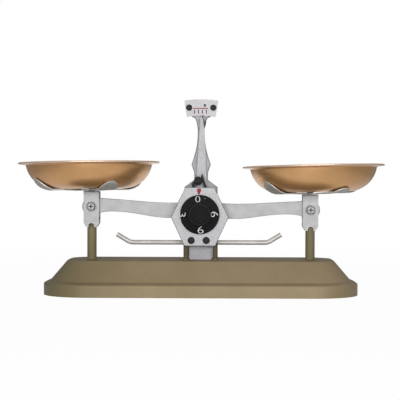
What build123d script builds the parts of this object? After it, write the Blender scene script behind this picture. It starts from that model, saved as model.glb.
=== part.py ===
from build123d import *
import os
from math import atan2, cos, degrees, radians, sin, sqrt, tan

# Two-pan table balance. Origin on the table under the centre pivot,
# +X to the user's right, -Y towards the user, +Z up.

os.makedirs("parts", exist_ok=True)

# Gaps shared by every fit
driven_gap = 0.02
running_gap = 0.06
side_gap = 0.3
pin_slack = 0.3
height_tolerance = 0.01

# Levers: beam above and stay below make a parallelogram
arm_length = 116.0
pivot_height = 90.65
stay_height = 18.0
rest_tilt = 0.8
swing = 2.8
stop_gap = 0.8

# Base casting
base_length = 329.0
base_depth = 131.0
base_corner = 50.0
base_top = 36.6
base_wall = 3.0
skirt_bottom = 0.6
skirt_top = 13.0
ledge_width = 7.0
ledge_rise = 2.6
top_inset = 25.0
shoulder_round = 2.5
top_round = 1.5
boss_spread_x = 236.0
boss_spread_y = 90.0
boss_radius = 5.0
boss_length = 17.5
boss_drilling = 9.0
bottom_screw_grip = 6.0

# Bottom plate and feet
plate_recess = 1.4
plate_sheet = 2.0
foot_spread_x = 200.0
foot_spread_y = 88.0
foot_radius = 8.0
foot_plug_radius = 2.5
foot_lip = 0.9

# Cheeks cast on the base and the bar that they hold
cheek_thickness = 5.3
cheek_depth = 32.0
cheek_top = 59.0
cheek_corner = 1.5
cheek_round = 0.8
bar_radius = 2.5
bar_height = 54.3
bar_straight = 146.0
bar_reach = 174.5
bar_rise = 31.0
bar_bend = 12.0
bar_offset = -2.0

# Front bracket, pillar and the block that they stand against
bracket_width = 24.8
bracket_sheet = 2.0
bracket_top = 100.0
bracket_round = 2.5
cage_depth = 14.0
block_height = 12.0
pillar_thickness = 4.0
pillar_bevel = 1.0
bevel_margin = 1.0
shoulder_width = 35.4
shoulder_foot = 103.0
shoulder_height = 113.3
collar_width = 14.6
collar_foot = 121.0
collar_top = 128.5
kite_width = 20.6
kite_height = 137.4
waist_width = 7.4
waist_share = 0.636
neck_width = 12.8
neck_height = 186.6
kite_lean = (-0.35, 1)
neck_lean = (0.45, 1)
head_width = 30.0
head_rise = 4.1
head_margin = 1.5
tie_height = 68.0
tie_spacing = 15.0
tie_radius = 2.0
tie_sleeve_radius = 3.5

# Scale plate, an arc about the centre pivot that hangs a little below the head
scale_overhang = 1.35
scale_band = 17.6
scale_half_angle = 9.0
scale_sheet = 1.5
scale_screw_rise = 9.4
scale_screw_angle = 6.85
scale_screw_head = 3.3

# Knife edge and its two grooved bearings
knife_width = 5.2
knife_slope = 30.0
knife_height = 8.0
knife_gap = 0.05
groove_slope = 60.0
groove_width = 8.0
bearing_width = 10.0
bearing_drop = 10.0
bearing_screw_drop = 6.5
bearing_screw_share = 0.8
beam_gap = 0.4

# Beam
beam_thickness = 6.0
end_boss_radius = 10.3
end_hub_radius = 6.0
beam_root_reach = 25.0
beam_root_top = 5.6
beam_waist_reach = 86.0
beam_waist_top = 8.0
beam_top_start = (1, -0.5)
beam_top_end = (1, 0.12)
boss_wrap = 215.0
beam_neck_reach = 93.0
beam_neck_bottom = -4.9
beam_flank_reach = 57.0
beam_flank_bottom = -8.6
beam_belly = -10.8
beam_belly_reach = 28.0
beam_edge_round = 0.6
hub_width = 19.0
hub_top = 21.3
hub_shoulder_width = 34.0
hub_shoulder = 7.0

# Pointer, its foot and the zero screw, heights measured from the pivot
pointer_sheet = 1.2
pointer_foot_height = 8.0
pointer_root_width = 10.4
pointer_root_top = 34.0
pointer_mid_width = 6.0
pointer_mid_share = 0.8
pointer_end_width = 4.6
needle_past_scale = 1.5
needle_past_strip = 3.6
needle_thickness = 0.8
foot_sheet = 1.4
foot_margin = 1.0
foot_offset = -1.2
foot_width = 15.2
foot_apex = 37.4
foot_apex_offset = 0.7
zero_screw_offset = -3.6
zero_screw_height = 29.6
zero_head_radius = 4.4
zero_head_height = 3.6
zero_head_bevel = 0.5
zero_shank_radius = 1.5
rivet_radius = 1.2
rivet_heights = (12.0, 18.0)
head_share = 1.8

# Left edge of the pointer foot, downwards from under its apex
foot_lug_x = (-0.4, -5.0, -9.2, -10.4, -9.2)
foot_lug_height = (32.6, 29.0, 27.6, 25.0, 21.3)

# Window of the pointer foot, from its right corner on the hub's top
foot_window_x = (3.0, 1.3, -1.2, -6.4, -6.4)
foot_window_height = (21.3, 27.2, 24.4, 24.2, 21.3)

# Outline of the needle, heights measured down from its tip
needle_x = (0.3, 0.85, 1.0, 2.2, 4.2, 4.2, 2.8, 2.3, 1.3, 1.2, 0.9, 0.2, -0.3)
needle_drop = (0.0, 2.6, 4.2, 6.8, 8.2, 9.6, 14.6, 14.6, 10.4, 8.4, 6.4, 4.4, 2.6)

# Stirrups and end pivots
stirrup_width = 16.4
stirrup_sheet = 1.5
stirrup_gap = 12.5
stirrup_top = 16.5
stirrup_drop = 22.0
stirrup_corner_x = 3.0
stirrup_corner_z = 4.4
notch_width = 6.0
notch_height = 4.4
end_pin_radius = 3.0
washer_radius = 5.4
washer_sheet = 0.8
end_screw_head = 4.1
end_screw_shank = 1.5
end_screw_length = 6.0

# Stems, guide tubes and the stay
yoke_gap = 0.4
yoke_thickness = 2.3
stem_radius = 2.5
tube_radius = 5.0
tube_bore = 3.5
tube_round = 0.4
fork_width = 9.0
fork_depth = 11.0
fork_reach = 4.6
fork_crotch = 5.2
fork_top = 7.4
stay_thickness = 4.0
stay_bar = 9.0
stay_hub_radius = 7.0
stay_pin_radius = 2.5
stay_end_pin_radius = 1.75
stay_side_gap = 0.4
stay_pin_past = 1.0
ear_sheet = 2.0
ear_width = 12.0
ear_reach = 5.5
stay_plate_length = 30.0
block_screw_spacing = 18.0
block_screw_radius = 2.0
block_screw_grip = 8.0
drill_extra = 1.0

# Pans and their carriers
pan_offset_left = 2.8
pan_offset_right = 3.9
pan_radius = 75.0
pan_wall = 1.0
pan_flat_radius = 37.0
pan_arc_radius = 30.4
pan_flange_height = 25.6
rim_height = 27.4
rim_bead_radius = 1.0
pan_tilt_left = 0.7
pan_tilt_right = 1.3
carrier_sheet = 1.5
carrier_reach_left = 60.5
carrier_front_reach_left = 57.5
carrier_reach_right = 62.5
carrier_front_reach_right = 53.5
carrier_arm_width = 20.0
carrier_arc_turn = 75.0
carrier_arc_gap = 0.3
carrier_flat_gap = 0.4
carrier_corner = 5.0
carrier_turn_left = 27.0
carrier_turn_right = 31.0
carrier_collar = 0.9
carrier_rivet_radius = 2.0
carrier_rivet_head = 3.6
carrier_rivet_sunk = 0.8

# Face plate and dial
face_offset = -0.8
face_front = -23.0
face_sheet = 2.2
face_top = 112.7
face_top_width = 30.4
face_side_height = 81.5
face_side_width = 60.4
face_bottom = 51.4
face_bottom_width = 32.4
face_bevel = 0.5
face_screw_height = 57.3
face_screw_spacing = 15.7
face_screw_offset = -1.8
face_screw_radius = 1.65
face_screw_head = 3.7
face_sleeve_radius = 2.8
dial_height = 84.4
dial_radius = 20.5
dial_flange = 2.6
dial_gap = 0.6
dial_round = 0.7
grip_radius = 11.5
grip_length = 6.6
grip_round = 1.6
shaft_radius = 2.5
shaft_end = -12.0
shaft_sunk = 5.0
bush_radius = 4.0
bush_flange_radius = 6.0
bush_flange = 1.5

# Tare spring between the dial shaft and a pin on the beam
spring_strip = 0.6
spring_width = 2.0
spring_back = -15.5
spring_half_turns = 7
spring_spacing = 1.7
tare_pin_radius = 1.2
tare_pin_past = 1.0
tare_pin_gap = 0.1

# Small fasteners
small_screw_radius = 1.5
small_head_radius = 3.0
small_head_height = 1.6
bottom_head_height = 1.2
cross_width = 1.3
cross_share = 1.25
cross_depth_share = 0.6
head_round_share = 0.55
nut_height = 2.4
nut_share = 2.0

# Places worked out from the sizes above
plate_bottom = skirt_bottom + plate_recess
plate_top = plate_bottom + plate_sheet
ceiling = base_top - base_wall
cage_front = -cage_depth / 2
cage_back = cage_depth / 2
bracket_front = cage_front - bracket_sheet
pillar_back = cage_back + pillar_thickness
face_back = face_front + face_sheet
dial_back = face_front - dial_gap
dial_front = dial_back - dial_flange
beam_front = -beam_thickness / 2
beam_back = beam_thickness / 2
cheek_inner = bracket_width / 2 + side_gap
arm_drop = arm_length * sin(radians(rest_tilt))
arm_spread = arm_length * cos(radians(rest_tilt))
arm_travel = arm_length * sin(radians(swing))
yoke_top = -end_boss_radius - yoke_gap
yoke_bottom = yoke_top - yoke_thickness
tube_top = pivot_height + yoke_bottom - arm_travel - stop_gap
stirrup_half = stirrup_gap / 2 + stirrup_sheet
waist_height = kite_height + waist_share * (neck_height - kite_height)
head_foot = neck_height + head_rise
scale_inner_radius = head_foot - scale_overhang - pivot_height
scale_outer_radius = scale_inner_radius + scale_band
scale_screw_radius = scale_inner_radius + scale_screw_rise
pointer_tip = scale_inner_radius + needle_past_scale
pointer_end_height = pointer_tip - needle_past_strip
pointer_mid_height = pointer_mid_share * pointer_end_height


def upright(depth):
    """Sketch plane across the balance at y = depth, facing the user, in (x, z)."""
    return Plane.XZ.offset(-depth)


def upright_back(depth):
    """Sketch plane across the balance at y = depth, facing away from the user."""
    return Plane(origin=(0, depth, 0), x_dir=(-1, 0, 0), z_dir=(0, 1, 0))


def tilted(height, depth):
    """Upright plane that turns with the levers, its origin on a lever's pivot."""
    turn = radians(rest_tilt)
    lever = Plane(origin=(0, 0, height), x_dir=(cos(turn), 0, -sin(turn)), z_dir=(0, -1, 0))
    return lever.offset(-depth)


def turned_back(plane):
    """The same plane facing the other way, for what is fitted from behind."""
    return Plane(origin=plane.origin, x_dir=-plane.x_dir, z_dir=-plane.z_dir)


def save(part, name):
    """Name a finished piece and write it to its own file."""
    part.label = name
    export_step(part, f"parts/{name}.step")


def pan_head_screws(seat, points, head_radius, head_height, shank_radius, shank_length):
    """Cross-recessed screws whose heads sit on the seat plane, one at each point."""
    slot = cross_share * head_radius
    with BuildPart() as screws:
        with BuildSketch(seat):
            with Locations(*points):
                Circle(head_radius)
        extrude(amount=head_height)
        rims = screws.edges().sort_by(Axis(seat.origin, seat.z_dir))[-len(points):]
        fillet(rims, head_round_share * head_height)
        with BuildSketch(seat):
            with Locations(*points):
                Circle(shank_radius)
        extrude(amount=-shank_length)
        with BuildSketch(seat.offset(head_height)):
            with Locations(*points):
                Rectangle(slot, cross_width)
                Rectangle(cross_width, slot)
        extrude(amount=-cross_depth_share * head_height, mode=Mode.SUBTRACT)
    return screws.part


def sleeves(seat, points, outer, bore, length):
    """Plain tubes that stand on the seat plane."""
    with BuildPart() as tubes:
        with BuildSketch(seat):
            with Locations(*points):
                Circle(outer)
                Circle(bore, mode=Mode.SUBTRACT)
        extrude(amount=length)
    return tubes.part


def hex_nuts(seat, points, bore):
    """Plain hexagon nuts on the seat plane."""
    with BuildPart() as nuts:
        with BuildSketch(seat):
            with Locations(*points):
                RegularPolygon(nut_share * bore, 6, rotation=30)
                Circle(bore + driven_gap, mode=Mode.SUBTRACT)
        extrude(amount=nut_height)
    return nuts.part


def round_pins(seat, points, radius, length):
    """Plain round pins that stand on the seat plane."""
    with BuildPart() as pins:
        with BuildSketch(seat):
            with Locations(*points):
                Circle(radius)
        extrude(amount=length)
    return pins.part


def base_form(inset, drop):
    """The base's stepped body, shrunk all round by inset and lowered by drop."""
    steps = (
        (skirt_bottom, 0),
        (skirt_top - drop, 0),
        (skirt_top + ledge_rise - drop, ledge_width),
        (base_top - drop, top_inset),
    )
    with BuildPart() as form:
        for height, step in steps:
            narrower = inset + step
            with BuildSketch(Plane.XY.offset(height)):
                RectangleRounded(
                    base_length - 2 * narrower, base_depth - 2 * narrower, base_corner - narrower
                )
        loft(ruled=True)
    return form.part


# Base casting: a hollow enamelled casting with the two cheeks cast on top
tube_places = [(-arm_length, 0), (arm_length, 0)]
tie_places = [(-tie_spacing / 2, tie_height), (tie_spacing / 2, tie_height)]
block_screw_places = [(-block_screw_spacing / 2, 0), (block_screw_spacing / 2, 0)]
with BuildPart() as base_casting:
    add(base_form(0, 0))
    fillet(base_casting.faces().sort_by(Axis.Z)[-1].edges(), top_round)
    shoulder = base_casting.edges().filter_by_position(
        Axis.Z, skirt_top - height_tolerance, skirt_top + height_tolerance
    )
    fillet(shoulder, shoulder_round)
    add(base_form(base_wall, base_wall), mode=Mode.SUBTRACT)
    with BuildSketch(Plane.XY.offset(plate_top)):
        with GridLocations(boss_spread_x, boss_spread_y, 2, 2):
            Circle(boss_radius)
    extrude(amount=boss_length)
    with BuildSketch(Plane.XY.offset(plate_top)):
        with GridLocations(boss_spread_x, boss_spread_y, 2, 2):
            Circle(small_screw_radius + driven_gap)
    extrude(amount=boss_drilling, mode=Mode.SUBTRACT)
    with BuildSketch(Plane.XY.offset(base_top)):
        with GridLocations(2 * cheek_inner + cheek_thickness, 0, 2, 1):
            RectangleRounded(cheek_thickness, cheek_depth, cheek_corner)
    extrude(amount=cheek_top - base_top)
    fillet(base_casting.faces().sort_by(Axis.Z)[-2:].edges(), cheek_round)
    with Locations((0, 0, bar_height)):
        Cylinder(
            bar_radius + driven_gap, base_length / 2, rotation=(0, 90, 0), mode=Mode.SUBTRACT
        )
    with BuildSketch(Plane.XY.offset(base_top)):
        with Locations(*tube_places):
            Circle(tube_radius + driven_gap)
        with Locations(*block_screw_places):
            Circle(block_screw_radius + driven_gap)
    extrude(amount=-2 * base_wall, mode=Mode.SUBTRACT)
save(base_casting.part, "base_casting")

# Bottom plate: sheet that closes the hollow base, screwed to four bosses
with BuildPart() as bottom_plate:
    plate_inset = base_wall + side_gap
    with BuildSketch(Plane.XY.offset(plate_bottom)):
        RectangleRounded(
            base_length - 2 * plate_inset, base_depth - 2 * plate_inset, base_corner - plate_inset
        )
        with GridLocations(boss_spread_x, boss_spread_y, 2, 2):
            Circle(small_screw_radius + driven_gap, mode=Mode.SUBTRACT)
        with GridLocations(foot_spread_x, foot_spread_y, 2, 2):
            Circle(foot_plug_radius + driven_gap, mode=Mode.SUBTRACT)
    extrude(amount=plate_sheet)
save(bottom_plate.part, "bottom_plate")

# Bottom screws: four, heads up inside the recess under the plate
under_plate = Plane(origin=(0, 0, plate_bottom), x_dir=(1, 0, 0), z_dir=(0, 0, -1))
boss_places = [(x * boss_spread_x / 2, y * boss_spread_y / 2) for x in (-1, 1) for y in (-1, 1)]
bottom_screws = pan_head_screws(
    under_plate,
    boss_places,
    small_head_radius,
    bottom_head_height,
    small_screw_radius,
    plate_sheet + bottom_screw_grip,
)
save(bottom_screws, "bottom_screws")

# Rubber feet: pads with a plug pushed through the bottom plate
with BuildPart() as rubber_feet:
    with BuildSketch(Plane.XY):
        with GridLocations(foot_spread_x, foot_spread_y, 2, 2):
            Circle(foot_radius)
    extrude(amount=plate_bottom)
    with BuildSketch(Plane.XY.offset(plate_bottom)):
        with GridLocations(foot_spread_x, foot_spread_y, 2, 2):
            Circle(foot_plug_radius)
    extrude(amount=plate_sheet)
    with BuildSketch(Plane.XY.offset(plate_top)):
        with GridLocations(foot_spread_x, foot_spread_y, 2, 2):
            Circle(foot_plug_radius + foot_lip)
    extrude(amount=foot_lip)
save(rubber_feet.part, "rubber_feet")

# Handle bar: bright rod through the cheeks, both ends bent up
bar_half = bar_straight / 2
bar_tip = bar_height + (bar_reach / 2 - bar_half) * tan(radians(bar_rise))
with BuildPart() as handle_bar:
    with BuildLine(Plane.XZ) as bar_path:
        FilletPolyline(
            (bar_offset - bar_reach / 2, bar_tip),
            (bar_offset - bar_half, bar_height),
            (bar_offset + bar_half, bar_height),
            (bar_offset + bar_reach / 2, bar_tip),
            radius=bar_bend,
        )
    with BuildSketch(Plane(origin=bar_path.line @ 0, z_dir=bar_path.line % 0)):
        Circle(bar_radius)
    sweep()
save(handle_bar.part, "handle_bar")

# Bracket block: between front bracket and pillar, screwed down through the base
with BuildPart() as bracket_block:
    with BuildSketch(Plane.XY.offset(base_top)):
        Rectangle(bracket_width, cage_depth)
    extrude(amount=block_height)
    with BuildSketch(Plane.XY.offset(base_top)):
        with Locations(*block_screw_places):
            Circle(block_screw_radius + driven_gap)
    extrude(amount=block_screw_grip + drill_extra, mode=Mode.SUBTRACT)
save(bracket_block.part, "bracket_block")

# Front bracket: silver plate behind the face plate, its foot shows below it
face_screw_places = [
    (face_screw_offset - face_screw_spacing / 2, face_screw_height),
    (face_screw_offset + face_screw_spacing / 2, face_screw_height),
]
bearing_screw_place = [(0, pivot_height - bearing_screw_drop)]
with BuildPart() as front_bracket:
    with BuildSketch(upright(cage_front)):
        with Locations((0, (base_top + bracket_top) / 2)):
            RectangleRounded(bracket_width, bracket_top - base_top, bracket_round)
        with Locations(*tie_places):
            Circle(tie_radius + driven_gap, mode=Mode.SUBTRACT)
        with Locations(*face_screw_places):
            Circle(face_screw_radius + driven_gap, mode=Mode.SUBTRACT)
        with Locations(*bearing_screw_place):
            Circle(small_screw_radius + driven_gap, mode=Mode.SUBTRACT)
    extrude(amount=bracket_sheet)
save(front_bracket.part, "front_bracket")

# Pillar: rear casting that carries the rear bearing and, on top, the scale plate
scale_screw_x = scale_screw_radius * sin(radians(scale_screw_angle))
scale_screw_z = pivot_height + scale_screw_radius * cos(radians(scale_screw_angle))
scale_screw_places = [(-scale_screw_x, scale_screw_z), (scale_screw_x, scale_screw_z)]
head_top = pivot_height + scale_outer_radius * cos(radians(scale_half_angle)) - head_margin
with BuildPart() as pillar:
    with BuildSketch(upright(pillar_back)):
        with BuildLine():
            Polyline(
                (0, base_top),
                (bracket_width / 2, base_top),
                (bracket_width / 2, pivot_height),
                (shoulder_width / 2, shoulder_foot),
                (shoulder_width / 2, shoulder_height),
                (collar_width / 2, collar_foot),
                (collar_width / 2, collar_top),
                (kite_width / 2, kite_height),
            )
            Spline(
                (kite_width / 2, kite_height),
                (waist_width / 2, waist_height),
                (neck_width / 2, neck_height),
                tangents=(kite_lean, neck_lean),
            )
            Polyline(
                (neck_width / 2, neck_height),
                (head_width / 2 - head_margin, head_foot),
                (head_width / 2 + head_margin, head_top),
                (0, head_top),
            )
            mirror(about=Plane.YZ)
        make_face()
    extrude(amount=pillar_thickness)
    chamfer(pillar.faces().sort_by(Axis.Y)[0].edges().filter_by_position(
        Axis.Z, base_top + bevel_margin, head_foot - bevel_margin
    ), pillar_bevel)
    with BuildSketch(upright(pillar_back)):
        with Locations(*tie_places):
            Circle(tie_radius + driven_gap)
        with Locations(*bearing_screw_place, *scale_screw_places):
            Circle(small_screw_radius + driven_gap)
    extrude(amount=pillar_thickness, mode=Mode.SUBTRACT)
save(pillar.part, "pillar")

# Tie bolts with their sleeves hold front bracket and pillar apart and together
bracket_spacers = sleeves(
    upright(cage_back), tie_places, tie_sleeve_radius, tie_radius + driven_gap, cage_depth
)
save(bracket_spacers, "bracket_spacers")
tie_reach = pillar_back - bracket_front + nut_height
bracket_bolts = pan_head_screws(
    upright(bracket_front),
    tie_places,
    head_share * tie_radius,
    small_head_height,
    tie_radius,
    tie_reach,
)
save(bracket_bolts, "bracket_bolts")
save(hex_nuts(upright_back(pillar_back), tie_places, tie_radius), "bracket_nuts")

# Bearings: grooved blocks that carry the knife edge in front of and behind the beam
groove_rise = groove_width / 2 / tan(radians(groove_slope))
bearing_thickness = (cage_depth - beam_thickness) / 2 - beam_gap


def bearing(depth):
    """A block whose groove meets the knife at the pivot, its back face at y = depth."""
    with BuildPart() as block:
        with BuildSketch(upright(depth)):
            with BuildLine():
                Polyline(
                    (-bearing_width / 2, pivot_height - bearing_drop),
                    (bearing_width / 2, pivot_height - bearing_drop),
                    (bearing_width / 2, pivot_height + groove_rise - knife_gap),
                    (groove_width / 2, pivot_height + groove_rise - knife_gap),
                    (0, pivot_height - knife_gap),
                    (-groove_width / 2, pivot_height + groove_rise - knife_gap),
                    (-bearing_width / 2, pivot_height + groove_rise - knife_gap),
                    close=True,
                )
            make_face()
            with Locations(*bearing_screw_place):
                Circle(small_screw_radius + driven_gap, mode=Mode.SUBTRACT)
        extrude(amount=bearing_thickness)
    return block.part


save(bearing(cage_front + bearing_thickness), "bearing_front")
save(bearing(cage_back), "bearing_rear")
bearing_grip = bearing_screw_share * bearing_thickness
bearing_screw_front = pan_head_screws(
    upright(bracket_front),
    bearing_screw_place,
    small_head_radius,
    small_head_height,
    small_screw_radius,
    bracket_sheet + bearing_grip,
)
save(bearing_screw_front, "bearing_screw_front")
bearing_screw_rear = pan_head_screws(
    upright_back(pillar_back),
    bearing_screw_place,
    small_head_radius,
    small_head_height,
    small_screw_radius,
    pillar_thickness + bearing_grip,
)
save(bearing_screw_rear, "bearing_screw_rear")

# Scale plate: an arc about the pivot, screwed to the pillar's head
scale_front = cage_back - scale_sheet
with BuildPart() as scale_plate:
    with BuildSketch(upright(cage_back)):
        with BuildLine():
            start = 90 - scale_half_angle
            outer = CenterArc((0, pivot_height), scale_outer_radius, start, 2 * scale_half_angle)
            inner = CenterArc((0, pivot_height), scale_inner_radius, start, 2 * scale_half_angle)
            Line(outer @ 0, inner @ 0)
            Line(outer @ 1, inner @ 1)
        make_face()
        with Locations(*scale_screw_places):
            Circle(small_screw_radius + driven_gap, mode=Mode.SUBTRACT)
    extrude(amount=scale_sheet)
save(scale_plate.part, "scale_plate")
scale_screws = pan_head_screws(
    upright(scale_front),
    scale_screw_places,
    scale_screw_head,
    small_head_height,
    small_screw_radius,
    scale_sheet + pillar_thickness,
)
save(scale_screws, "scale_screws")

# Face plate: bevelled hexagon in front, carried by two black screws and sleeves
with BuildPart() as face_plate:
    with BuildSketch(upright(face_back)):
        with BuildLine():
            Polyline(
                (face_offset - face_top_width / 2, face_top),
                (face_offset - face_side_width / 2, face_side_height),
                (face_offset - face_bottom_width / 2, face_bottom),
                (face_offset + face_bottom_width / 2, face_bottom),
                (face_offset + face_side_width / 2, face_side_height),
                (face_offset + face_top_width / 2, face_top),
                close=True,
            )
        make_face()
    extrude(amount=face_sheet)
    chamfer(face_plate.faces().sort_by(Axis.Y)[0].edges(), face_bevel)
    with BuildSketch(upright(face_back)):
        with Locations(*face_screw_places):
            Circle(face_screw_radius + driven_gap)
        with Locations((face_offset, dial_height)):
            Circle(bush_radius + driven_gap)
    extrude(amount=face_sheet, mode=Mode.SUBTRACT)
save(face_plate.part, "face_plate")
sleeve_length = bracket_front - face_back
face_spacers = sleeves(
    upright(bracket_front),
    face_screw_places,
    face_sleeve_radius,
    face_screw_radius + driven_gap,
    sleeve_length,
)
save(face_spacers, "face_spacers")
face_screws = pan_head_screws(
    upright(face_front),
    face_screw_places,
    face_screw_head,
    nut_height,
    face_screw_radius,
    cage_front - face_front + nut_height,
)
save(face_screws, "face_screws")
face_nut_places = [(-x, z) for x, z in face_screw_places]
save(hex_nuts(upright_back(cage_front), face_nut_places, face_screw_radius), "face_nuts")

# Dial bush: flanged bearing in the face plate
dial_place = [(face_offset, dial_height)]
with BuildPart() as dial_bush:
    with BuildSketch(upright(face_back + bush_flange)):
        with Locations(*dial_place):
            Circle(bush_flange_radius)
            Circle(shaft_radius + running_gap, mode=Mode.SUBTRACT)
    extrude(amount=bush_flange)
    with BuildSketch(upright(face_back)):
        with Locations(*dial_place):
            Circle(bush_radius)
            Circle(shaft_radius + running_gap, mode=Mode.SUBTRACT)
    extrude(amount=face_sheet + side_gap)
save(dial_bush.part, "dial_bush")

# Tare dial: black moulding, a flange for the numbers and a raised grip
with BuildPart() as dial:
    with BuildSketch(upright(dial_back)):
        with Locations(*dial_place):
            Circle(dial_radius)
    extrude(amount=dial_flange)
    fillet(dial.faces().sort_by(Axis.Y)[0].edges(), dial_round)
    with BuildSketch(upright(dial_front)):
        with Locations(*dial_place):
            Circle(grip_radius)
    extrude(amount=grip_length)
    fillet(dial.faces().sort_by(Axis.Y)[0].edges(), grip_round)
    with BuildSketch(upright(dial_back)):
        with Locations(*dial_place):
            Circle(shaft_radius + driven_gap)
    extrude(amount=shaft_sunk + side_gap, mode=Mode.SUBTRACT)
save(dial.part, "dial")
shaft_length = shaft_end - dial_back + shaft_sunk
save(round_pins(upright(shaft_end), dial_place, shaft_radius, shaft_length), "dial_shaft")

# Tare spring: a flat spiral of half circles about two centres by turns
spring_start = shaft_radius + side_gap + spring_strip / 2
with BuildPart() as tare_spring:
    with BuildSketch(upright(spring_back)):
        with BuildLine():
            for half in range(spring_half_turns):
                centre_x = face_offset + spring_spacing * (half % 2)
                CenterArc(
                    (centre_x, dial_height),
                    spring_start + half * spring_spacing,
                    180 * (half % 2),
                    180,
                )
        trace(line_width=spring_strip)
    extrude(amount=spring_width)
save(tare_spring.part, "tare_spring")
print("least gap between the spring's turns, mm:", round(spring_spacing - spring_strip, 2))

# Beam: flat silver casting, deepest at the middle, with round end bosses
spring_end = spring_start + (spring_half_turns - 1) * spring_spacing
tare_pin_x = face_offset - spring_end - spring_strip / 2 - tare_pin_radius - tare_pin_gap
tare_pin_v = dial_height - pivot_height
tare_pin_place = [(tare_pin_x, tare_pin_v)]
rivet_places = [(0, height) for height in rivet_heights]
knife_shoulder = knife_width / 2 / tan(radians(knife_slope))
end_places = [(-arm_length, 0), (arm_length, 0)]
with BuildPart() as beam:
    with BuildSketch(tilted(pivot_height, beam_back)):
        with BuildLine():
            top_join = (arm_length, end_boss_radius)
            Polyline((0, hub_top), (hub_width / 2, hub_top), (hub_shoulder_width / 2, hub_shoulder))
            Spline(
                (hub_shoulder_width / 2, hub_shoulder),
                (beam_root_reach, beam_root_top),
                (beam_waist_reach, beam_waist_top),
                top_join,
                tangents=(beam_top_start, beam_top_end),
            )
            boss_side = CenterArc((arm_length, 0), end_boss_radius, 90, -boss_wrap)
            Spline(
                boss_side @ 1,
                (beam_neck_reach, beam_neck_bottom),
                (beam_flank_reach, beam_flank_bottom),
                (beam_belly_reach, beam_belly),
                tangents=(boss_side % 1, (-1, 0)),
            )
            Line((beam_belly_reach, beam_belly), (0, beam_belly))
            mirror(about=Plane.YZ)
        make_face()
    extrude(amount=beam_thickness)
    fillet(beam.faces().sort_by(Axis.Y)[0].edges(), beam_edge_round)
    fillet(beam.faces().sort_by(Axis.Y)[-1].edges(), beam_edge_round)
    with BuildSketch(tilted(pivot_height, 0)):
        with Locations(*end_places):
            Circle(end_hub_radius)
    extrude(amount=stirrup_gap / 2 - side_gap, both=True)
    with BuildSketch(tilted(pivot_height, 0)):
        with Locations(*end_places):
            Circle(end_pin_radius + driven_gap)
    extrude(amount=stirrup_gap / 2, both=True, mode=Mode.SUBTRACT)
    with BuildSketch(tilted(pivot_height, 0)):
        with BuildLine():
            Polyline(
                (0, -driven_gap),
                (knife_width / 2 + driven_gap, knife_shoulder),
                (knife_width / 2 + driven_gap, knife_height + driven_gap),
                (-knife_width / 2 - driven_gap, knife_height + driven_gap),
                (-knife_width / 2 - driven_gap, knife_shoulder),
                close=True,
            )
        make_face()
        with Locations(*rivet_places):
            Circle(rivet_radius + driven_gap)
        with Locations(*tare_pin_place):
            Circle(tare_pin_radius + driven_gap)
    extrude(amount=beam_thickness, both=True, mode=Mode.SUBTRACT)
save(beam.part, "beam")

# Knife edge: hardened steel bar through the beam, its edge down on the pivot line
with BuildPart() as knife_edge:
    with BuildSketch(tilted(pivot_height, 0)):
        with BuildLine():
            Polyline(
                (0, 0),
                (knife_width / 2, knife_shoulder),
                (knife_width / 2, knife_height),
                (-knife_width / 2, knife_height),
                (-knife_width / 2, knife_shoulder),
                close=True,
            )
        make_face()
    extrude(amount=cage_depth / 2 - side_gap, both=True)
save(knife_edge.part, "knife_edge")

# Tare pin: driven into the beam, stands forward beside the front bracket
pin_front = spring_back - spring_width - tare_pin_past
tare_pin = round_pins(
    tilted(pivot_height, beam_back), tare_pin_place, tare_pin_radius, beam_back - pin_front
)
save(tare_pin, "tare_pin")

# Pointer: silver strip on the back of the beam's hub
with BuildPart() as pointer:
    with BuildSketch(tilted(pivot_height, beam_back + pointer_sheet)):
        with BuildLine():
            Polyline(
                (0, pointer_foot_height),
                (pointer_root_width / 2, pointer_foot_height),
                (pointer_root_width / 2, pointer_root_top),
                (pointer_mid_width / 2, pointer_mid_height),
                (pointer_end_width / 2, pointer_end_height),
                (0, pointer_end_height),
            )
            mirror(about=Plane.YZ)
        make_face()
        with Locations(*rivet_places):
            Circle(rivet_radius + driven_gap, mode=Mode.SUBTRACT)
    extrude(amount=pointer_sheet)
save(pointer.part, "pointer")

# Needle: dark sliver on the front of the strip, it reads against the scale
with BuildPart() as pointer_needle:
    with BuildSketch(tilted(pivot_height, beam_back)):
        with BuildLine():
            corners = [(x, pointer_tip - drop) for x, drop in zip(needle_x, needle_drop)]
            Polyline(*corners, close=True)
        make_face()
    extrude(amount=needle_thickness)
save(pointer_needle.part, "pointer_needle")

# Pointer foot: black A-shaped sheet on the front of the hub, holds the zero screw
foot_half = foot_width / 2
with BuildPart() as pointer_foot:
    with BuildSketch(tilted(pivot_height, beam_front)):
        with BuildLine():
            Polyline(
                (foot_offset - foot_half, pointer_foot_height + foot_margin),
                (foot_offset + foot_half, pointer_foot_height + foot_margin),
                (foot_offset + foot_half, hub_top),
                (foot_apex_offset, foot_apex),
                *zip(foot_lug_x, foot_lug_height),
                close=True,
            )
        make_face()
        with BuildLine():
            Polyline(*zip(foot_window_x, foot_window_height), close=True)
        make_face(mode=Mode.SUBTRACT)
        with Locations(*rivet_places):
            Circle(rivet_radius + driven_gap, mode=Mode.SUBTRACT)
        with Locations((zero_screw_offset, zero_screw_height)):
            Circle(zero_shank_radius + running_gap, mode=Mode.SUBTRACT)
    extrude(amount=foot_sheet)
save(pointer_foot.part, "pointer_foot")

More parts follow.
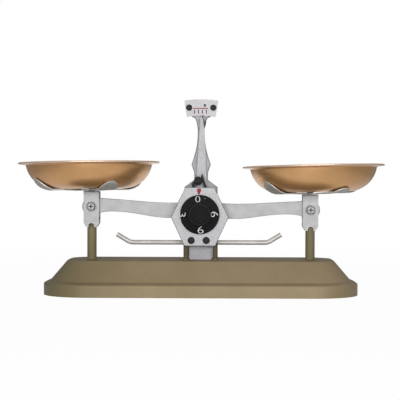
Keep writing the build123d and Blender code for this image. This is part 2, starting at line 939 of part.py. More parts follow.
# Rivets: two, through foot, hub and pointer, closed on both sides
rivet_length = foot_sheet + beam_thickness + pointer_sheet
with BuildPart() as pointer_rivets:
    with BuildSketch(tilted(pivot_height, beam_back + pointer_sheet)):
        with Locations(*rivet_places):
            Circle(rivet_radius)
    extrude(amount=rivet_length)
    with BuildSketch(tilted(pivot_height, beam_front - foot_sheet)):
        with Locations(*rivet_places):
            Circle(head_share * rivet_radius)
    extrude(amount=rivet_radius / 2)
    with BuildSketch(turned_back(tilted(pivot_height, beam_back + pointer_sheet))):
        with Locations(*rivet_places):
            Circle(head_share * rivet_radius)
    extrude(amount=rivet_radius / 2)
save(pointer_rivets.part, "pointer_rivets")

# Zero screw: black knob that turns in the pointer foot
zero_seat = beam_front - foot_sheet - side_gap / 2
with BuildPart() as zero_screw:
    with BuildSketch(tilted(pivot_height, zero_seat)):
        with Locations((zero_screw_offset, zero_screw_height)):
            Circle(zero_head_radius)
    extrude(amount=zero_head_height)
    chamfer(zero_screw.edges().filter_by(GeomType.CIRCLE), zero_head_bevel)
    with BuildSketch(tilted(pivot_height, zero_seat)):
        with Locations((zero_screw_offset, zero_screw_height)):
            Circle(zero_shank_radius)
    extrude(amount=-beam_thickness / 2)
save(zero_screw.part, "zero_screw")

# Stay: flat lever in the base, as long as the beam, it keeps the stirrups upright
with BuildPart() as stay:
    with BuildSketch(tilted(stay_height, 0)):
        SlotCenterToCenter(2 * arm_length, stay_bar)
        Circle(stay_hub_radius)
        Circle(stay_pin_radius + running_gap, mode=Mode.SUBTRACT)
        with Locations(*end_places):
            Circle(stay_end_pin_radius + driven_gap, mode=Mode.SUBTRACT)
    extrude(amount=stay_thickness / 2, both=True)
save(stay.part, "stay")
stay_end_pins = round_pins(
    tilted(stay_height, fork_depth / 2), end_places, stay_end_pin_radius, fork_depth
)
save(stay_end_pins, "stay_end_pins")

# Stay bracket: folded sheet under the base's top, its ears hold the stay's pin
ear_inner = stay_thickness / 2 + stay_side_gap
ear_outer = ear_inner + ear_sheet
with BuildPart() as stay_bracket:
    with BuildSketch(Plane.XY.offset(ceiling - ear_sheet)):
        Rectangle(stay_plate_length, 2 * ear_outer)
        with Locations(*block_screw_places):
            Circle(block_screw_radius + driven_gap, mode=Mode.SUBTRACT)
    extrude(amount=ear_sheet)
    ear_length = ceiling - ear_sheet - stay_height + ear_reach
    with BuildSketch(upright(ear_outer)):
        with Locations((0, ceiling - ear_sheet - ear_length / 2)):
            Rectangle(ear_width, ear_length)
    extrude(amount=2 * ear_outer)
    with BuildSketch(upright(ear_inner)):
        with Locations((0, ceiling - ear_sheet - ear_length / 2)):
            Rectangle(ear_width, ear_length)
    extrude(amount=2 * ear_inner, mode=Mode.SUBTRACT)
    with BuildSketch(upright(ear_outer)):
        with Locations((0, stay_height)):
            Circle(stay_pin_radius + driven_gap)
    extrude(amount=2 * ear_outer, mode=Mode.SUBTRACT)
save(stay_bracket.part, "stay_bracket")
stay_pin_half = ear_outer + stay_pin_past
stay_pin = round_pins(
    upright(stay_pin_half), [(0, stay_height)], stay_pin_radius, 2 * stay_pin_half
)
save(stay_pin, "stay_pin")

# Block screws: two, up through stay bracket and base into the bracket block
under_ceiling = Plane(origin=(0, 0, ceiling - ear_sheet), x_dir=(1, 0, 0), z_dir=(0, 0, -1))
block_screws = pan_head_screws(
    under_ceiling,
    block_screw_places,
    head_share * block_screw_radius,
    small_head_height,
    block_screw_radius,
    ear_sheet + base_wall + block_screw_grip,
)
save(block_screws, "block_screws")


def guide_tube(side):
    """Olive tube that stands on the base and guides the stem."""
    with BuildPart() as tube:
        with BuildSketch(Plane.XY.offset(ceiling)):
            with Locations((side * arm_length, 0)):
                Circle(tube_radius)
                Circle(tube_bore, mode=Mode.SUBTRACT)
        extrude(amount=tube_top - ceiling)
        fillet(tube.faces().sort_by(Axis.Z)[-1].edges(), tube_round)
    return tube.part


def stirrup(side):
    """Inverted U of sheet that hangs on the beam's end and carries the pan."""
    end_x = side * arm_spread
    end_z = pivot_height - side * arm_drop
    with BuildPart() as piece:
        with BuildSketch(upright(stirrup_half)):
            with BuildLine():
                Polyline(
                    (end_x - stirrup_width / 2, end_z + stirrup_top),
                    (end_x - stirrup_width / 2, end_z - stirrup_drop + stirrup_corner_z),
                    (end_x - stirrup_width / 2 + stirrup_corner_x, end_z - stirrup_drop),
                    (end_x + stirrup_width / 2 - stirrup_corner_x, end_z - stirrup_drop),
                    (end_x + stirrup_width / 2, end_z - stirrup_drop + stirrup_corner_z),
                    (end_x + stirrup_width / 2, end_z + stirrup_top),
                    close=True,
                )
            make_face()
            with Locations((end_x, end_z - stirrup_drop)):
                SlotCenterToCenter(
                    2 * (notch_height - notch_width / 2),
                    notch_width,
                    rotation=90,
                    mode=Mode.SUBTRACT,
                )
            with Locations((end_x, end_z)):
                Circle(end_pin_radius + running_gap, mode=Mode.SUBTRACT)
        extrude(amount=2 * stirrup_half)
        with BuildSketch(upright(stirrup_gap / 2)):
            with Locations((end_x, end_z + stirrup_top - stirrup_sheet)):
                Rectangle(
                    2 * stirrup_width, 2 * stirrup_drop + stirrup_top, align=(Align.CENTER, Align.MAX)
                )
        extrude(amount=stirrup_gap, mode=Mode.SUBTRACT)
        top_edges = piece.faces().sort_by(Axis.Z)[-1].edges().filter_by(Axis.X)
        fillet(top_edges, stirrup_sheet)
        with Locations((end_x, 0, end_z + stirrup_top)):
            Cylinder(carrier_rivet_radius + side_gap / 2, 4 * stirrup_sheet, mode=Mode.SUBTRACT)
    return piece.part


def stem(side):
    """Yoke between the stirrup's cheeks, rod down the tube, and fork over the stay."""
    end_x = side * arm_spread
    end_z = pivot_height - side * arm_drop
    foot_z = stay_height - side * arm_drop
    with BuildPart() as piece:
        with BuildSketch(Plane.XY.offset(end_z + yoke_bottom)):
            with Locations((end_x, 0)):
                Rectangle(stirrup_width, stirrup_gap)
        extrude(amount=yoke_thickness)
        with BuildSketch(Plane.XY.offset(foot_z + fork_top)):
            with Locations((end_x, 0)):
                Circle(stem_radius)
        extrude(amount=end_z + yoke_bottom - foot_z - fork_top)
        with BuildSketch(Plane.XY.offset(foot_z - fork_reach)):
            with Locations((end_x, 0)):
                Rectangle(fork_width, fork_depth)
        extrude(amount=fork_top + fork_reach)
        with BuildSketch(Plane.XY.offset(foot_z - fork_reach)):
            with Locations((end_x, 0)):
                Rectangle(fork_width, 2 * ear_inner)
        extrude(amount=fork_reach + fork_crotch, mode=Mode.SUBTRACT)
        with BuildSketch(upright(fork_depth / 2)):
            with Locations((end_x, foot_z)):
                Circle(stay_end_pin_radius + pin_slack)
        extrude(amount=fork_depth, mode=Mode.SUBTRACT)
    return piece.part


def end_pin(side):
    """Steel pin fixed in the beam's end boss, drilled at both ends for screws."""
    place = [(side * arm_length, 0)]
    half = stirrup_half + side_gap
    with BuildPart() as pin:
        with BuildSketch(tilted(pivot_height, 0)):
            with Locations(*place):
                Circle(end_pin_radius)
        extrude(amount=half, both=True)
        for seat in (tilted(pivot_height, -half), tilted(pivot_height, half)):
            with BuildSketch(seat):
                with Locations(*place):
                    Circle(end_screw_shank + driven_gap)
            inward = -1 if seat.origin.Y < 0 else 1
            extrude(amount=inward * (end_screw_length + side_gap), mode=Mode.SUBTRACT)
    return pin.part


def pan_shift(side):
    """How far the pan's axis stands outboard of the stirrup's middle, with its sign."""
    return pan_offset_right if side > 0 else -pan_offset_left


def pan_lean(side):
    """Angle in radians by which a pan stands higher on its right side."""
    return radians(pan_tilt_right if side > 0 else pan_tilt_left)


def seat_plane(side):
    """Plane of the pan's flat bottom, with its origin over the stirrup's middle."""
    lean = pan_lean(side)
    seat_x = side * arm_spread
    seat_z = pivot_height - side * arm_drop + stirrup_top
    seat_z += carrier_collar + carrier_rivet_head * sin(lean)
    lower = Plane(
        origin=(seat_x, 0, seat_z), x_dir=(cos(lean), 0, sin(lean)), z_dir=(-sin(lean), 0, cos(lean))
    )
    return lower.offset(carrier_sheet)


def profile_plane(side):
    """Upright half-plane through the pan's own axis, with the pan's bottom at zero."""
    seat = seat_plane(side)
    centre = seat.from_local_coords((pan_shift(side), 0, 0))
    return Plane(origin=centre, x_dir=seat.x_dir, z_dir=(0, -1, 0))


def pan(side):
    """Spun dish with a flat bottom, round wall and a flange with a rolled bead."""
    profile = profile_plane(side)
    rise = pan_flange_height - pan_arc_radius
    wall_x = pan_flat_radius + sqrt(pan_arc_radius**2 - rise**2)
    wall_turn = 90 + degrees(atan2(rise, wall_x - pan_flat_radius))
    bead = Vector(pan_radius - rim_bead_radius, rim_height)
    rim = bead - Vector(0, pan_wall / 2)
    slope = atan2(rim.Y - pan_flange_height, rim.X - wall_x)
    lift = pan_wall * Vector(-sin(slope), cos(slope))
    with BuildPart() as dish:
        with BuildSketch(profile):
            with BuildLine():
                centre = (pan_flat_radius, pan_arc_radius)
                under = CenterArc(centre, pan_arc_radius, -90, wall_turn)
                inside = CenterArc(centre, pan_arc_radius - pan_wall, -90, wall_turn)
                Polyline(under @ 0, (0, 0), (0, pan_wall), inside @ 0)
                Polyline(inside @ 1, under @ 1 + lift, rim + lift, rim, under @ 1)
            make_face()
            with Locations(bead):
                Circle(rim_bead_radius)
        revolve(axis=Axis(profile.origin, profile.y_dir))
    return dish.part


def carrier(side):
    """Sheet cross under the pan, its four round-ended arms bent up along the wall."""
    profile = profile_plane(side)
    seat = seat_plane(side)
    turn = carrier_turn_left if side < 0 else carrier_turn_right
    reach = carrier_reach_left if side < 0 else carrier_reach_right
    front_reach = carrier_front_reach_left if side < 0 else carrier_front_reach_right
    back = (reach - front_reach) / 2
    back_x = pan_shift(side) - back * sin(radians(turn))
    back_y = back * cos(radians(turn))
    arc_radius = pan_arc_radius + carrier_arc_gap
    centre = (pan_flat_radius + carrier_flat_gap, arc_radius)
    with BuildPart() as cross:
        with BuildSketch(profile):
            with BuildLine():
                above = CenterArc(centre, arc_radius, -90, carrier_arc_turn)
                below = CenterArc(centre, arc_radius + carrier_sheet, -90, carrier_arc_turn)
                Polyline(above @ 0, (0, 0), (0, -carrier_sheet), below @ 0)
                Line(above @ 1, below @ 1)
            make_face()
        revolve(axis=Axis(profile.origin, profile.y_dir))
        with BuildSketch(seat.offset(-2 * carrier_sheet)) as outline:
            with Locations((pan_shift(side), 0)):
                SlotOverall(2 * reach, carrier_arm_width, rotation=turn)
            with Locations((back_x, back_y)):
                SlotOverall(reach + front_reach, carrier_arm_width, rotation=turn + 90)
            inner_corners = outline.vertices().sort_by_distance((pan_shift(side), 0))[:4]
            fillet(inner_corners, carrier_corner)
        extrude(amount=rim_height, mode=Mode.INTERSECT)
        with BuildSketch(seat):
            Circle(carrier_rivet_head + driven_gap)
        extrude(amount=-carrier_rivet_sunk, mode=Mode.SUBTRACT)
        with BuildSketch(seat):
            Circle(carrier_rivet_radius + driven_gap)
        extrude(amount=-2 * carrier_sheet, mode=Mode.SUBTRACT)
    return cross.part


def carrier_rivet(side):
    """Rivet flush with the carrier's top, with a collar on the stirrup's top."""
    seat = seat_plane(side)
    lean_room = 2 * carrier_rivet_head * sin(pan_lean(side))
    grip = carrier_sheet + carrier_collar + stirrup_sheet + side_gap + lean_room
    with BuildPart() as rivet:
        with BuildSketch(seat):
            Circle(carrier_rivet_head)
        extrude(amount=-carrier_rivet_sunk)
        with BuildSketch(seat):
            Circle(carrier_rivet_radius)
        extrude(amount=-grip)
        with BuildSketch(seat.offset(-carrier_sheet)):
            Circle(carrier_rivet_head)
        extrude(amount=-carrier_collar)
        with BuildSketch(seat.offset(-grip)):
            Circle(carrier_rivet_head)
        extrude(amount=-carrier_rivet_sunk)
    return rivet.part


# Both ends of the balance
for side, name in ((-1, "left"), (1, "right")):
    place = [(side * arm_length, 0)]
    place_behind = [(-side * arm_length, 0)]
    save(guide_tube(side), f"guide_tube_{name}")
    save(stirrup(side), f"stirrup_{name}")
    save(stem(side), f"stem_{name}")
    save(end_pin(side), f"pivot_pin_{name}")
    save(carrier(side), f"pan_carrier_{name}")
    save(carrier_rivet(side), f"carrier_rivet_{name}")
    save(pan(side), f"pan_{name}")
    washer_seat = stirrup_half + side_gap
    ends = (
        (tilted(pivot_height, -washer_seat), place),
        (turned_back(tilted(pivot_height, washer_seat)), place_behind),
    )
    with BuildPart() as washers:
        for seat, spots in ends:
            add(sleeves(seat, spots, washer_radius, end_screw_shank + driven_gap, washer_sheet))
    save(washers.part, f"pivot_washers_{name}")
    with BuildPart() as screws:
        for seat, spots in ends:
            add(
                pan_head_screws(
                    seat.offset(washer_sheet),
                    spots,
                    end_screw_head,
                    nut_height,
                    end_screw_shank,
                    washer_sheet + end_screw_length,
                )
            )
    save(screws.part, f"pivot_screws_{name}")
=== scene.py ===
import math

import bpy
import numpy as np
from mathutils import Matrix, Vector


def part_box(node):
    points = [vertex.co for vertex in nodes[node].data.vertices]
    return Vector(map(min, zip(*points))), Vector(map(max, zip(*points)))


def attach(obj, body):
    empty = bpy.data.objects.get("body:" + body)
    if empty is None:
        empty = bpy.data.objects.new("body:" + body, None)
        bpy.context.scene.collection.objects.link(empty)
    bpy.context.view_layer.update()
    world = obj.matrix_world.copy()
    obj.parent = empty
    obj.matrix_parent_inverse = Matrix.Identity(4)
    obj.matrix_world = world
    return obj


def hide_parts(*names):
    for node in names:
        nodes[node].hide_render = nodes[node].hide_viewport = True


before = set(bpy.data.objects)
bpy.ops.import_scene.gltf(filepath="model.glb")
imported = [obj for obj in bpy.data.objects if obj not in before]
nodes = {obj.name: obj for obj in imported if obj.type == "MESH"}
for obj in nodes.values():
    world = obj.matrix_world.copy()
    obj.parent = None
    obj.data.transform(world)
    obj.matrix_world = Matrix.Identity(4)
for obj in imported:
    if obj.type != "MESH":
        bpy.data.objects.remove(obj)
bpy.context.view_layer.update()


# Base casting and guide tubes: a hollow iron casting and two pressed-in tubes in an
# olive-gold satin enamel. The sprayed enamel has a fine orange-peel skin and a few
# specks. Painted shade darkens it on the cheeks and at the left end, and the tubes
# wear a darker copy of it, which is painted shade too.
def linear(red, green, blue):
    """An sRGB colour in 0-255 as the linear colour that a shader takes."""
    shares = np.array([red, green, blue]) / 255
    low = shares / 12.92
    high = ((shares + 0.055) / 1.055) ** 2.4
    return tuple(np.where(shares <= 0.04045, low, high)) + (1.0,)


def link(tree, *ends):
    """Joins pairs of sockets in a material's tree."""
    for source, target in ends:
        tree.links.new(source, target)


def noise(tree, size, detail, vector):
    """A noise whose blotches are about size metres across."""
    made = tree.nodes.new("ShaderNodeTexNoise")
    made.inputs["Scale"].default_value = 1 / size
    made.inputs["Detail"].default_value = detail
    link(tree, (vector, made.inputs["Vector"]))
    return made.outputs["Fac"]


noise_span = (0.3, 0.7)


def spread_over(tree, source, low, high, edges=noise_span):
    """A value between two edges, spread over low to high."""
    made = tree.nodes.new("ShaderNodeMapRange")
    made.inputs["From Min"].default_value = edges[0]
    made.inputs["From Max"].default_value = edges[1]
    made.inputs["To Min"].default_value = low
    made.inputs["To Max"].default_value = high
    link(tree, (source, made.inputs["Value"]))
    return made.outputs["Result"]


def two_colours(tree, source, deep, light):
    """A noise spread from a deep colour to a light one."""
    made = tree.nodes.new("ShaderNodeValToRGB")
    for element, position, colour in zip(made.color_ramp.elements, noise_span, (deep, light)):
        element.position = position
        element.color = colour
    link(tree, (source, made.inputs["Fac"]))
    return made.outputs["Color"]


def object_place(tree):
    """Where a point lies, in the object's own metres."""
    return tree.nodes.new("ShaderNodeTexCoord").outputs["Object"]


cloud_detail = 5
grain_detail = 3
dimple_detail = 2


def skin(
    name, deep, light, cloud, metallic, rough, spread, grain, dimple, depth, gloss=0.5,
    along=(1, 1, 1),
):
    """A painted, moulded or plated skin on object coordinates, sizes in metres.

    Colour drifts from deep to light in clouds of size cloud, roughness within spread
    of rough in grains, and dimples of their own size are depth high. Where along is
    under 1, grains and dimples are drawn out along that axis.
    """
    made = bpy.data.materials.new(name)
    made.use_nodes = True
    tree = made.node_tree
    shader = tree.nodes["Principled BSDF"]
    shader.inputs["Metallic"].default_value = metallic
    shader.inputs["Specular IOR Level"].default_value = gloss
    place = object_place(tree)
    drawn = tree.nodes.new("ShaderNodeVectorMath")
    drawn.operation = "MULTIPLY"
    drawn.inputs[1].default_value = along
    link(tree, (place, drawn.inputs[0]))
    marks = drawn.outputs["Vector"]
    clouds = noise(tree, cloud, cloud_detail, place)
    grains = noise(tree, grain, grain_detail, marks)
    colour = two_colours(tree, clouds, deep, light)
    roughness = spread_over(tree, grains, rough - spread, rough + spread)
    bump = tree.nodes.new("ShaderNodeBump")
    bump.name = "dimples"
    bump.inputs["Distance"].default_value = depth
    link(
        tree,
        (colour, shader.inputs["Base Color"]),
        (roughness, shader.inputs["Roughness"]),
        (noise(tree, dimple, dimple_detail, marks), bump.inputs["Height"]),
        (bump.outputs["Normal"], shader.inputs["Normal"]),
    )
    return made


def over(made, mask, colour):
    """Lays another colour over a skin where a mask is 1."""
    tree = made.node_tree
    shader = tree.nodes["Principled BSDF"]
    base = shader.inputs["Base Color"].links[0].from_socket
    blend = tree.nodes.new("ShaderNodeMix")
    blend.data_type = "RGBA"
    blend.inputs["B"].default_value = colour
    link(
        tree,
        (mask, blend.inputs["Factor"]),
        (base, blend.inputs["A"]),
        (blend.outputs["Result"], shader.inputs["Base Color"]),
    )


def coordinate(tree, axis):
    """One coordinate of where a point lies."""
    made = tree.nodes.new("ShaderNodeSeparateXYZ")
    link(tree, (object_place(tree), made.inputs[0]))
    return made.outputs[axis]


def finish_with(material, *names):
    """Gives CAD nodes a finish."""
    for name in names:
        made = nodes[name].data
        made.materials.clear()
        made.materials.append(material)


olive_enamel = skin(
    "olive_enamel", linear(139, 124, 95), linear(150, 134, 106),
    cloud=0.045, metallic=0.1, rough=0.47, spread=0.05, grain=0.004, dimple=0.0011,
    depth=0.00003, gloss=0.12,
)
tree = olive_enamel.node_tree
speck_size = 0.0014
speck_edges = (0.8, 0.84)
specks = spread_over(tree, noise(tree, speck_size, 0, object_place(tree)), 0, 1, speck_edges)
over(olive_enamel, specks, linear(116, 104, 80))
# Painted shade: the enamel darkens above the bracket block's foot, on the cheeks behind the bracket.
cheek_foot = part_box("bracket_block")[0][2]
cheek_shade_edges = (cheek_foot, cheek_foot + 0.001)
cheek_shade_cover = 0.85
painted_cheek_shade = spread_over(tree, coordinate(tree, "Z"), 0, cheek_shade_cover, cheek_shade_edges)
over(olive_enamel, painted_cheek_shade, linear(66, 58, 40))
# Painted shade: the enamel darkens towards the left end, whose corner turns away from the lamps.
left_end_shade_span = (-0.15, -0.07)
painted_left_end_shade = spread_over(tree, coordinate(tree, "X"), 1, 0, left_end_shade_span)
over(olive_enamel, painted_left_end_shade, linear(116, 107, 80))
# The tubes take a darker copy of the base's enamel, which is painted shade; the left stem wears it
# too.
shaded_tube_enamel = skin(
    "shaded_tube_enamel", linear(112, 102, 75), linear(122, 112, 84),
    cloud=0.03, metallic=0.0, rough=0.6, spread=0.05, grain=0.004, dimple=0.0011, depth=0.00002,
    gloss=0.3,
)
finish_with(olive_enamel, "base_casting")
finish_with(shaded_tube_enamel, "guide_tube_left", "guide_tube_right", "stem_left")

# Bottom plate, stay and stay bracket, with their screws: zinc-plated sheet and steel
# under and inside the base, dull and faintly scuffed.
zinc_plate = skin(
    "zinc_plate", linear(176, 176, 178), linear(205, 205, 207),
    cloud=0.004, metallic=0.85, rough=0.33, spread=0.1, grain=0.001, dimple=0.0004,
    depth=0.00001,
)
finish_with(zinc_plate, "bottom_plate", "bottom_screws", "stay_bracket", "block_screws", "stay")

# Rubber feet: four black moulded pads with a dull skin. Their plugs are pushed through
# holes in the bottom plate.
foot_rubber = skin(
    "foot_rubber", linear(28, 28, 28), linear(38, 38, 38),
    cloud=0.01, metallic=0.0, rough=0.75, spread=0.1, grain=0.001, dimple=0.0006, depth=0.00003,
)
finish_with(foot_rubber, "rubber_feet")

# Handle bar: a drawn steel rod through the cheeks, bent up at both ends and
# nickel-plated. The plate keeps fine lengthwise draw lines.
bright_nickel = skin(
    "bright_nickel", linear(186, 183, 180), linear(204, 201, 198),
    cloud=0.01, metallic=0.35, rough=0.5, spread=0.05, grain=0.0012, dimple=0.0004,
    depth=0.000004, gloss=0.3, along=(0.03, 1, 1),
)
finish_with(bright_nickel, "handle_bar")

# Front bracket, block, pillar and beam: castings and sheet in satin silver paint over a
# slightly sandy surface. The bracket, block and pillar take a darker, coarser copy, whose
# darkness is painted shade. Zinc-plated bolts with spacers and nuts hold the brackets together.
silver_paint = skin(
    "silver_paint", linear(152, 152, 153), linear(166, 166, 167),
    cloud=0.012, metallic=0.2, rough=0.45, spread=0.08, grain=0.0012, dimple=0.0006,
    depth=0.00003,
)
# A darker, coarser copy of the silver paint for the bracket, block and pillar: its darkness is painted
# shade.
shaded_cast_paint = skin(
    "shaded_cast_paint", linear(139, 139, 142), linear(155, 155, 158),
    cloud=0.012, metallic=0.2, rough=0.5, spread=0.08, grain=0.0016, dimple=0.0008,
    depth=0.00005,
)
finish_with(silver_paint, "beam")
finish_with(shaded_cast_paint, "front_bracket", "bracket_block", "pillar")
finish_with(zinc_plate, "bracket_spacers", "bracket_bolts", "bracket_nuts")

# Scale plate: an arc of thin sheet in a paler silver lacquer. Two black steel screws
# hold it on the head of the pillar.
scale_lacquer = skin(
    "scale_lacquer", linear(185, 182, 186), linear(197, 194, 198),
    cloud=0.02, metallic=0.05, rough=0.45, spread=0.05, grain=0.002, dimple=0.001,
    depth=0.00001, gloss=0.3,
)
black_steel = skin(
    "black_steel", linear(22, 22, 25), linear(38, 36, 40),
    cloud=0.003, metallic=0.1, rough=0.45, spread=0.1, grain=0.001, dimple=0.0004,
    depth=0.00001, gloss=0.15,
)
finish_with(scale_lacquer, "scale_plate")
finish_with(black_steel, "scale_screws")


# Printing on the scale: a red arc, four dark ticks below it and a 0 above it, in
# thin raised ink.
sharp_angle = math.radians(35)


def mesh_piece(name, points, faces, material, body, slot):
    """A new piece of the object with its body and finish; the slot is not used."""
    mesh = bpy.data.meshes.new(name)
    mesh.from_pydata(points.tolist(), [], faces)
    mesh.materials.append(material)
    mesh.polygons.foreach_set("use_smooth", np.ones(len(mesh.polygons), bool))
    mesh.set_sharp_from_angle(angle=sharp_angle)
    mesh.update()
    piece = bpy.data.objects.new(name, mesh)
    bpy.context.scene.collection.objects.link(piece)
    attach(piece, body)
    return piece


def facing(x, z, y):
    """Points of an upright outline at depth y, as rows of x, y, z."""
    return np.column_stack([x, np.full(len(x), y), z])


def wall_faces(first, count):
    """Faces between a ring of count points, from the first on, and the ring after it."""
    ahead = np.arange(count)
    after = (ahead + 1) % count
    quads = first + np.column_stack([ahead, after, after + count, ahead + count])
    return quads.tolist()


def inked(outline, back):
    """Points and faces of a flat patch of ink that stands forward of y = back.

    The patch is the outline, given clockwise as the user sees it, at two depths, with
    a face at the front and at the back and a wall between them.
    """
    x, z = np.asarray(outline).T
    count = len(x)
    points = np.vstack([facing(x, z, back - ink), facing(x, z, back)])
    ends = [tuple(range(count))[::-1], tuple(range(count, 2 * count))]
    return points, ends + wall_faces(0, count)


def joined(patches):
    """One list of points and faces from several."""
    points, faces, first = [], [], 0
    for patch_points, patch_faces in patches:
        points.append(patch_points)
        faces += [tuple(first + corner for corner in face) for face in patch_faces]
        first += len(patch_points)
    return np.vstack(points), faces


def on_arc(angles, radii):
    """Outline points by angle from the upright, clockwise, and radius about the pivot."""
    turn = np.radians(angles)
    return np.column_stack([radii * np.sin(turn), pivot_z + radii * np.cos(turn)])


def ink_skin(name, deep, light, gloss=0.2):
    """A thin matt ink or paint."""
    return skin(
        name, deep, light,
        cloud=0.002, metallic=0.0, rough=0.5, spread=0.08, grain=0.001, dimple=0.0004,
        depth=0.000005, gloss=gloss,
    )


pivot_z = 0.09065
ink = 0.00012
scale_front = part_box("scale_plate")[0][1]
scale_inner = 0.09869
line_half = 0.0005
red_radius = scale_inner + 0.0079
red_angles = np.linspace(-4.7, 3.9, num=25)
red_outline = np.vstack([
    on_arc(red_angles, red_radius + line_half),
    on_arc(red_angles[::-1], red_radius - line_half),
])
red_ink = ink_skin("red_ink", linear(136, 50, 58), linear(156, 66, 74))
mesh_piece("scale_arc_line", *inked(red_outline, scale_front), red_ink, "base", "scale_enamel")

tick_angles = (-4.0, -1.67, 0.67, 3.0)
tick_low = scale_inner + 0.0022
tick_high = scale_inner + 0.0064
tick_turns = math.degrees(line_half / tick_high) * np.array([-1, 1, 1, -1])
tick_radii = np.array([tick_high, tick_high, tick_low, tick_low])
ticks = [inked(on_arc(angle + tick_turns, tick_radii), scale_front) for angle in tick_angles]
tick_ink = ink_skin("tick_ink", linear(66, 30, 36), linear(86, 44, 50))
mesh_piece("scale_ticks", *joined(ticks), tick_ink, "base", "scale_enamel")


def printed(name, text, height, width, place, turn, depth, material, body, weight):
    """A character as thin raised ink on an upright face.

    The built-in font's outline, grown by weight and extruded by any depth, is scaled to
    width, height and the ink's thickness, turned by turn degrees to the left, and set
    with its middle at place, an x and a z.
    """
    curve = bpy.data.curves.new(name, "FONT")
    curve.body = text
    curve.offset = weight
    curve.extrude = 0.5
    shape = bpy.data.objects.new(name, curve)
    bpy.context.scene.collection.objects.link(shape)
    bpy.context.view_layer.update()
    evaluated = shape.evaluated_get(bpy.context.evaluated_depsgraph_get())
    mesh = bpy.data.meshes.new_from_object(evaluated)
    bpy.data.objects.remove(shape)
    flat = np.empty(len(mesh.vertices) * 3)
    mesh.vertices.foreach_get("co", flat)
    flat = flat.reshape(-1, 3)
    low, high = flat.min(0), flat.max(0)
    across = (flat[:, 0] - (low[0] + high[0]) / 2) * width / (high[0] - low[0])
    up = (flat[:, 1] - (low[1] + high[1]) / 2) * height / (high[1] - low[1])
    turned = math.radians(turn)
    x = place[0] + across * math.cos(turned) - up * math.sin(turned)
    z = place[1] + across * math.sin(turned) + up * math.cos(turned)
    y = depth - ink * (flat[:, 2] - low[2]) / (high[2] - low[2])
    mesh.vertices.foreach_set("co", np.column_stack([x, y, z]).ravel())
    mesh.materials.clear()
    mesh.materials.append(material)
    mesh.update()
    piece = bpy.data.objects.new(name, mesh)
    bpy.context.scene.collection.objects.link(piece)
    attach(piece, body)


zero_ink = ink_skin("zero_ink", linear(16, 24, 18), linear(28, 36, 30))
zero_angle = 2.05
zero_radius = scale_inner + 0.0111
printed(
    "scale_zero", "0", height=0.0034, width=0.0024, place=on_arc([zero_angle], zero_radius)[0],
    turn=0, depth=scale_front, material=zero_ink, body="base", weight=0.1,
)

# Bearings, knife edge, pins, shaft and spring: hardened steel, ground bright.
# Zinc-plated screws hold the bearing blocks.
ground_steel = skin(
    "ground_steel", linear(120, 121, 124), linear(160, 161, 164),
    cloud=0.003, metallic=0.9, rough=0.3, spread=0.1, grain=0.0006, dimple=0.0003,
    depth=0.000008,
)
finish_with(
    ground_steel, "bearing_front", "bearing_rear", "stay_pin", "tare_spring", "dial_shaft",
    "knife_edge", "tare_pin", "pivot_pin_left", "pivot_pin_right", "stay_end_pins",
)
finish_with(zinc_plate, "bearing_screw_front", "bearing_screw_rear")

# Pointer: a strip of sheet in the beam's silver, with a dark needle riveted on and a
# black A-shaped foot that holds the zero screw.
pointer_silver = skin(
    "pointer_silver", linear(145, 145, 148), linear(154, 154, 157),
    cloud=0.02, metallic=0.2, rough=0.42, spread=0.06, grain=0.002, dimple=0.0008,
    depth=0.00001,
)
needle_paint = ink_skin("needle_paint", linear(30, 22, 24), linear(46, 36, 38), gloss=0.5)
finish_with(pointer_silver, "pointer")
finish_with(needle_paint, "pointer_needle")
finish_with(black_steel, "pointer_foot", "pointer_rivets")


# Zero screw: a small black moulded knob with a serrated edge and a shallow recess in
# its face. Its short shank turns in the pointer's foot.
def ring_faces(rings, count):
    """Faces over a pole, some rings of count points each, and a second pole.

    The rings run anticlockwise as seen from the second pole's side.
    """
    ahead = np.arange(count)
    after = (ahead + 1) % count
    last_ring = 1 + (rings - 1) * count
    last_pole = np.full_like(ahead, last_ring + count)
    faces = np.column_stack([np.zeros_like(ahead), 1 + after, 1 + ahead]).tolist()
    for ring in range(rings - 1):
        faces += wall_faces(1 + ring * count, count)
    return faces + np.column_stack([last_pole, last_ring + ahead, last_ring + after]).tolist()


def lathed(profile, centre, across, along, count):
    """Points and faces of a closed profile of (radius, height) turned about an axis.

    A point is centre + radius (cos t across + sin t side) + height along, where side is
    along x across and t runs once round in count steps. The profile starts and ends
    on the axis, those two ends are one point each, and its outside is on its right.
    """
    along = np.asarray(along, float) / np.linalg.norm(along)
    across = np.asarray(across, float) / np.linalg.norm(across)
    side = np.cross(along, across)
    radius, height = np.asarray(profile).T
    turn = np.linspace(0, 2 * np.pi, count, endpoint=False)
    round_way = np.cos(turn)[:, None] * across + np.sin(turn)[:, None] * side
    rings = centre + radius[1:-1, None, None] * round_way + height[1:-1, None, None] * along
    first = centre + height[0] * along
    last = centre + height[-1] * along
    return np.vstack([first, rings.reshape(-1, 3), last]), ring_faces(len(rings), count)


def arc(middle, radius, start, turn, steps):
    """Profile points on an arc, angles in degrees from the outward radius.

    A point is middle + radius (cos a, sin a), where a runs from start through turn.
    """
    angle = np.radians(start + turn * np.linspace(0, 1, steps))
    around = np.column_stack([np.cos(angle), np.sin(angle)])
    return middle + radius * around


def from_box(name):
    """The middle of a node's front face and half its width, for pieces that face the user."""
    low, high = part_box(name)
    middle = np.array([(low[0] + high[0]) / 2, low[1], (low[2] + high[2]) / 2])
    return middle, (high[0] - low[0]) / 2


